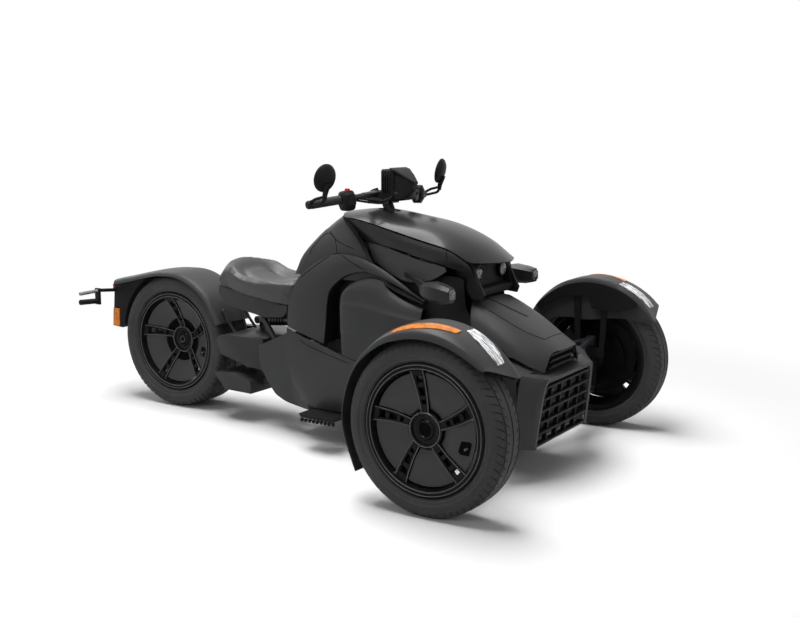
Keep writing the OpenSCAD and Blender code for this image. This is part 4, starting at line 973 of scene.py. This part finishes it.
# %% Engine covers
cover_rows = {
    "top": [
        (219, 214, 596), (228, 220, 622), (252, 224, 646), (300, 226, 668), (356, 226, 678),
        (404, 226, 672), (436, 224, 640), (500, 220, 606), (578, 212, 580),
    ],
    "shoulder": [
        (217, 226, 586), (226, 238, 606), (250, 243, 628), (300, 245, 644), (356, 245, 646),
        (404, 244, 634), (440, 242, 612), (500, 236, 586), (578, 224, 566),
    ],
    "shelf": [
        (217, 230, 570), (226, 244, 578), (250, 250, 588), (300, 252, 592), (356, 252, 588),
        (404, 251, 578), (444, 249, 568), (502, 242, 556), (578, 230, 545),
    ],
    "ridge": [
        (217, 231, 556), (226, 246, 561), (250, 256, 566), (300, 259, 566), (356, 259, 562),
        (404, 258, 556), (448, 256, 549), (504, 249, 540), (578, 236, 530),
    ],
    "face": [
        (217, 231, 510), (226, 245, 510), (250, 251, 508), (300, 253, 505), (356, 253, 502),
        (406, 252, 498), (452, 250, 494), (506, 244, 488), (578, 233, 480),
    ],
    "seam": [
        (217, 231, 470), (226, 244, 464), (250, 249, 458), (300, 250, 452), (356, 250, 449),
        (408, 249, 449), (456, 247, 451), (508, 242, 453), (578, 232, 455),
    ],
    "below": [
        (217, 229, 462), (226, 241, 456), (250, 245, 450), (300, 246, 444), (356, 246, 441),
        (408, 245, 441), (456, 243, 443), (508, 238, 446), (578, 229, 449),
    ],
    "foot": [
        (219, 224, 330), (228, 232, 326), (252, 235, 322), (300, 236, 318), (356, 236, 316),
        (410, 235, 315), (460, 233, 316), (510, 229, 318), (578, 222, 322),
    ],
}


def engine_cover(side):
    rows = [side_line(row, side, 5) for row in cover_rows.values()]
    columns = [smooth_line([row[c] for row in rows], 3) for c in range(len(rows[0]))]
    return skin("cover", columns, 0.004, (0.0, -side, 0.0), 50.0)


covers = replace_node("engine_cover_skins", both("engine_cover_skins", engine_cover), "engine_covers")
print("engine covers", len(covers.data.polygons))

# %% [markdown]
# The lamp and the amber marker on each front fender are let into its crown. They are drawn in wheel
# angles and widths, and each point is dropped onto the fender's own surface, so they follow its curve
# exactly.

# %% Fender lamps and markers
def surface_of(node):
    mesh = shells[node].data
    return BVHTree.FromPolygons([v.co for v in mesh.vertices], [p.vertices for p in mesh.polygons])


def fender_patch(name, fender, centre, rows, side, lift, columns=6):
    surface = surface_of(fender)
    angles = [row[0] for row in rows]
    grid = []
    for k in range(4 * len(rows)):
        angle = angles[0] + (angles[-1] - angles[0]) * k / (4 * len(rows) - 1)
        low, high = (np.interp(-angle, [-a for a in angles], [row[j] for row in rows]) for j in (1, 2))
        ray = Vector((math.cos(math.radians(angle)), 0.0, math.sin(math.radians(angle))))
        line = []
        for across in np.linspace(low, high, columns):
            start = Vector((centre.x, side * across / 1000, centre.z)) + ray * 0.5
            spot = surface.ray_cast(start, -ray)[0]
            line.append((spot if spot else start - ray * 0.17) + ray * lift)
        grid.append(line)
    return skin(name, grid, 0.005, (-0.3, 0.0, -0.95), 50.0)


lamp_rows = [(71.0, 652, 606), (64.0, 668, 607), (57.0, 676, 612), (50.0, 678, 622), (44.5, 674, 634)]
marker_rows = [(110.0, 749, 738), (101.0, 747, 716), (91.0, 741, 700), (80.0, 724, 684), (72.0, 708, 674)]
for name, side in (("right", -1), ("left", 1)):
    centre = wheels[name][0]
    fender = "fender_" + name
    # The fender lamp lens carries streaks from near-black to near-white: painted reflection in its facets.
    lamp = fender_patch("fender_lamp", fender, centre, lamp_rows, side, 0.0025)
    replace_node("fender_lamp_lens_" + name, lamp, "fender_lamp_" + name, None, "faceted_glass")
    marker = fender_patch("fender_marker", fender, centre, marker_rows, side, 0.003)
    replace_node("fender_marker_lens_" + name, marker, "fender_marker_" + name)
print("fender lamps", len(lamp.polygons), len(marker.polygons))

# %% [markdown]
# The handlebar carries a display in an upright case with a pointed visor, and a console under it. The
# case, the visor and the console are lofts with cut corners, and a row of ribs stands on each side of
# the case.

# %% Display and console
display_sections = {
    "case": (7, [(287, 52, 978, 1070), (292, 60, 972, 1080), (338, 62, 970, 1083), (346, 56, 976, 1078)]),
    "cowl": (6, [(342, 50, 972, 1072), (364, 46, 968, 1062), (390, 34, 972, 1046), (410, 14, 1000, 1032)]),
    "visor": (3, [
        (330, 60, 1076, 1086), (350, 58, 1069, 1080), (382, 40, 1047, 1057), (414, 14, 1023, 1033),
    ]),
    "console": (7, [
        (240, 40, 976, 992), (262, 56, 966, 998), (300, 62, 960, 1000), (352, 54, 958, 996),
        (384, 36, 964, 990),
    ]),
}
screen_sections = [(289, 50, 990, 1066), (285.5, 49, 991, 1065)]


def boxed_loft(name, cut, sections, sharp=25.0):
    rings = []
    for x, half_y, low, high in sections:
        rings.append([at(x, u, v) for u, v in cut_corner_section(half_y, low, high, cut)])
    return loft(name, rings, sharp)


def case_ribs(side):
    upright = (math.pi / 2, 0.0, 0.0)
    return stud_line(4, at(300, 62, 1026, side), (0.0105, 0.0, 0.0), (0.006, 0.086, 0.005), 0.6, upright)


display_parts = [boxed_loft(name, cut, sections) for name, (cut, sections) in display_sections.items()]
display_case = replace_node("display_case", joined("display_case", display_parts), "display", "trim_black")
link_piece("display_ribs", both("display_ribs", case_ribs), "display", "trim_black")
link_piece("display_screen", boxed_loft("screen", 5, screen_sections, 35.0), "display", "panel_dark")
print("display", len(display_case.data.polygons))

# %% [markdown]
# Each grip has a switch housing inboard of it, the right one with a red stop switch. Stiff brake pipes
# run along the bar to the console, fixed at both ends. A round mirror stands on a pair of bent arms at
# each bar end.

# %% Switch housings, pipes and mirrors
bar_bend, bar_end = (294, 185, 984), (205, 390, 960)
housing_section = [(26, -16), (27, 18), (18, 38), (-14, 40), (-25, 26), (-28, -14), (-16, -36), (14, -36)]
housing_steps = [(42, 0.66), (46, 0.84), (54, 0.97), (72, 1.0), (88, 0.97), (96, 0.84), (100, 0.66)]
mirror_profile = [
    (-11, 0), (-10.5, 12), (-8, 26), (-3, 40), (4, 49), (9.5, 52), (12.5, 51.5), (12.5, 47.5),
    (9, 46.8), (9, 0),
]


def along_grip(distance, side, lift=0.0):
    start, end = at(*bar_bend, side), at(*bar_end, side)
    return start + (end - start).normalized() * distance / 1000 + Vector((0, 0, lift / 1000))


def switch_housing(side):
    line = [along_grip(distance, side, -9) for distance, _ in housing_steps]
    sizes = [size for _, size in housing_steps]
    return swept("housing", line, housing_section, (0, 0, 1), lambda t: sizes[round(6 * t)], 30.0)


def brake_pipe(side, drop, reach):
    path = [(318, 165, 968 - drop), (338, 120, 962 - 0.6 * drop), (346, 70, 976), (340, reach, 986)]
    line = smooth_line([along_grip(44, side, -drop)] + [at(*point, side) for point in path])
    return swept("pipe", line, round_section(4.5, 10))


def mirror(side):
    foot = at(276, 404, 984, side)
    foot_top, foot_low = foot + Vector((0, 0, 0.008)), foot - Vector((0, 0, 0.006))
    upper = [along_grip(236, side, 4), at(232, 404, 980, side), at(262, 405, 988, side), foot_top]
    lower = [along_grip(236, side, -5), at(238, 405, 962, side), at(266, 405, 970, side), foot]
    neck = [foot_low, at(279, 404, 1000, side), at(285, 405, 1020, side), at(290, 406, 1038, side)]
    ring = [along_grip(distance, side) for distance in (226, 229, 238, 243)]
    facing = (-0.963, -0.174 * side, 0.205)
    parts = [turned("mirror_back", mirror_profile, at(288, 406, 1057, side), facing, 64)]
    parts += [swept("arm", smooth_line(points), round_section(5.5, 10)) for points in (upper, lower)]
    parts.append(swept("collar", ring, round_section(16, 24), (0, 0, 1), lambda t: 1.0 if t < 0.7 else 0.8))
    parts.append(swept("neck", smooth_line(neck), round_section(9, 16), (1, 0, 0), lambda t: 0.85 + 0.7 * t))
    return joined("mirror", parts)


housing_mesh = both("switch_housings", switch_housing)
housings = replace_node("switch_housings", housing_mesh, "switch_pods", "trim_black")
mirror_shells = replace_node("mirror_shells", both("mirror_shells", mirror), "mirrors", "trim_black")
pipes = [brake_pipe(side, drop, reach) for side in (-1, 1) for drop, reach in ((0, 30), (9, 18))]
link_piece("brake_pipes", joined("brake_pipes", pipes), "handlebar", "trim_black")
switch_rings = []
for height, grow in ((25, 1.0), (33, 1.0), (37, 0.85), (38, 0.6)):
    top = along_grip(70, -1, height)
    section = cut_corner_section(9, -8, 8, 3)
    switch_rings.append([top + Vector((u * grow, v * grow, 0)) / 1000 for u, v in section])
link_piece("stop_switch", loft("stop_switch", switch_rings), "switch_pods", "lens_red", "switch_red")
print("bars", len(housings.data.polygons), len(mirror_shells.data.polygons))

# %% [markdown]
# Below the nose there is a slatted opening, and the charcoal nose panel carries a raised centre plate
# with a smaller V-shaped one on it. The plates are drawn in plan and dropped onto the nose, so they keep
# its crown.

# %% Nose plates, slats and side wings
nose_plate = [(770, 128), (815, 126), (860, 122), (900, 118), (940, 108), (975, 92), (1005, 70)]
nose_vee = [(765, 60), (810, 48), (860, 26), (900, 6)]
wing_rows = [
    [
        (1010, 150, 386), (1010, 235, 392), (1006, 292, 388), (1006, 299, 372),
        (1006, 298, 250), (1006, 290, 128),
    ],
    [(965, 150, 404), (965, 240, 410), (960, 300, 405), (960, 308, 388), (960, 306, 256), (960, 298, 136)],
    [(918, 150, 420), (918, 244, 426), (912, 306, 420), (912, 314, 402), (912, 312, 262), (912, 304, 146)],
]


def dropped_plate(name, node, rows, lift, columns=9):
    surface = surface_of(node)
    places, halves = [row[0] for row in rows], [row[1] for row in rows]
    grid = []
    for x in np.linspace(places[0], places[-1], 5 * len(rows)):
        half = float(np.interp(x, places, halves))
        line = []
        for across in np.linspace(-half, half, columns):
            start = at(x, across, 900)
            spot = surface.ray_cast(start, Vector((0, 0, -1)))[0]
            line.append((spot or start - Vector((0, 0, 0.35))) + Vector((0, 0, lift)))
        grid.append(line)
    return skin(name, grid, 0.004, (0.0, 0.0, -1.0), 40.0)


def side_wing(side):
    rows = [[at(*point, side) for point in row] for row in wing_rows]
    return skin("wing", rows, 0.004, (0.0, -0.7 * side, -0.7), 30.0)


nose_plates = [
    dropped_plate("plate", "nose_cowl", nose_plate, 0.003),
    dropped_plate("vee", "nose_cowl", nose_vee, 0.006),
]
link_piece("nose_plates", joined("nose_plates", nose_plates), "nose_cowl")
link_piece("side_wings", both("side_wings", side_wing), "fascia")
# A near-black sheet closes the opening behind the slats: painted shade inside it.
backing = boxed_loft("backing", 20, [(1012, 126, 377, 452), (1016, 126, 377, 452)], 35.0)
link_piece("slot_backing", backing, "nose_cowl", "trim_black", "void_black")
slats = stud_line(3, at(1034, 0, 394), (-0.001, 0.0, 0.021), (0.016, 0.218, 0.007), 0.7, (0.0, 0.3, 0.0))
link_piece("nose_slats", slats, "nose_cowl", "trim_black")
print("nose", [len(mesh.polygons) for mesh in nose_plates])

# %% [markdown]
# Panels meet in narrow dark gaps. Each gap line is drawn from the side, dropped onto the panel it
# crosses, and swept as a thin near-black strip of painted shade that stands only a hair above the moulding.

# %% Panel gaps
gap_lines = [
    [(18, 218, 659), (105, 219, 718), (186, 215, 762), (260, 227, 738), (320, 226, 711), (353, 208, 689)],
    [(51, 200, 751), (62, 193, 780), (116, 178, 833), (165, 191, 818), (186, 215, 762)],
    [(131, 177, 841), (184, 196, 807), (258, 201, 783)],
    [(657, 179, 805), (658, 179, 762)],
    [(397, 184, 799), (502, 186, 778), (523, 185, 763), (728, 157, 719)],
    [(17, 229, 409), (54, 234, 394), (147, 239, 372), (262, 246, 347)],
]
gap_nodes = [node for node in lofted if "fender" not in node and node != "nose_cowl"]
gap_panels = [surface_of(node) for node in gap_nodes]


def panel_gap(points, side):
    inwards = Vector((0, -side, 0))
    line = []
    for point in side_line(points, side, 5):
        hits = [panel.ray_cast(point - inwards * 0.1, inwards) for panel in gap_panels]
        close = [hit for hit in hits if hit[0] and hit[3] < 0.16]
        line.append(min(close, key=lambda hit: hit[3])[0] if close else point)
    return swept("gap", line, [(-1.5, -2), (1.5, -2), (1.1, 0.6), (-1.1, 0.6)], (0, side, 0))


gaps = [panel_gap(points, side) for points in gap_lines for side in (-1, 1)]
# The strips are near-black: painted shade in the gaps between the panels.
link_piece("panel_gaps", joined("panel_gaps", gaps), "tank_cover", "trim_black", "void_black")
print("panel gaps", len(gaps))

# %% [markdown]
# Inside each front fender a liner closes the arch above the tyre and hides its two straps; it turns with
# the knuckle. The foot pegs have a row of teeth along their lower edge for grip.

# %% Fender liners and peg teeth
liner_rows = [(50, 300), (60, 240), (75, 215), (88, 215), (92, 262), (110, 270), (140, 290)]
liner_angles, liner_low = zip(*liner_rows)
liner_top = 322
liner_y = 575


def fender_liner(side):
    hub = at(900, 0, 290)
    columns = []
    for angle in np.linspace(liner_angles[0], liner_angles[-1], 46):
        low = float(np.interp(angle, liner_angles, liner_low))
        turn = math.radians(angle)
        reaches = np.linspace(low, liner_top, 7)
        columns.append([on_wheel(hub, side, reach, turn, liner_y) for reach in reaches])
    return skin("liner", columns, 0.003, (0.0, -side, 0.0), 40.0)


def teeth(side):
    upside_down = (math.pi, 0.0, 0.0)
    return stud_line(9, at(110, 342, 130, side), (0.0185, 0.0, 0.0), (0.011, 0.014, 0.012), 0.5, upside_down)


for name, side in (("right", -1), ("left", 1)):
    link_piece("fender_liner_" + name, fender_liner(side), "knuckle_" + name, "trim_black")
    finish_mesh(frame["nodes"]["knuckle_" + name].data, "trim_black")
link_piece("peg_teeth", both("peg_teeth", teeth), "foot_pegs")
finish_mesh(frame["nodes"]["rear_indicators"].data, "smoked_glass")
print("liners and teeth ready")

# %% [markdown]
# The floor is a wide pale sheet. Camera and mirror rays meet a plain white, while the sheet still
# catches the shadow under the wheels.

# %% Floor and world
floor_mesh = bpy.data.meshes.new("floor")
far = 40.0
floor_mesh.from_pydata([(-far, -far, 0), (far, -far, 0), (far, far, 0), (-far, far, 0)], [], [(0, 1, 2, 3)])
floor = bpy.data.objects.new("floor", floor_mesh)
scene.collection.objects.link(floor)
floor_finish = Finish("floor_sheet")
floor_finish.set(Base_Color=(0.8, 0.8, 0.8, 1.0), Roughness=0.9, Specular_IOR_Level=0.1)
distance = floor_finish.node("ShaderNodeVectorMath", {"operation": "LENGTH"}, {0: floor_finish.coords}, 1)
paper = floor_finish.node("ShaderNodeEmission", None, {"Color": (1.0, 1.0, 1.0, 1.0), "Strength": 1.0})
fade = distance.ramp(1.5, 2.9) * floor_finish.backdrop_rays()
sheet = Value(floor_finish, floor_finish.surface.outputs["BSDF"])
seen_floor = floor_finish.node("ShaderNodeMixShader", None, {0: fade, 1: sheet, 2: paper})
floor_finish.link(floor_finish.tree.nodes["Material Output"].inputs["Surface"], seen_floor)
floor_mesh.materials.append(floor_finish.material)

world = bpy.data.worlds.new("studio")
world.use_nodes = True
scene.world = world
sky = ShaderTree(world.node_tree)
fill = sky.node("ShaderNodeBackground", None, {"Color": (1.0, 1.0, 1.0, 1.0), "Strength": 0.14})
white = sky.node("ShaderNodeBackground", None, {"Color": (1.0, 1.0, 1.0, 1.0), "Strength": 1.0})
seen_sky = sky.node("ShaderNodeMixShader", None, {0: sky.backdrop_rays(), 1: fill, 2: white})
sky.link(sky.tree.nodes["World Output"].inputs["Surface"], seen_sky)
print("stage ready")
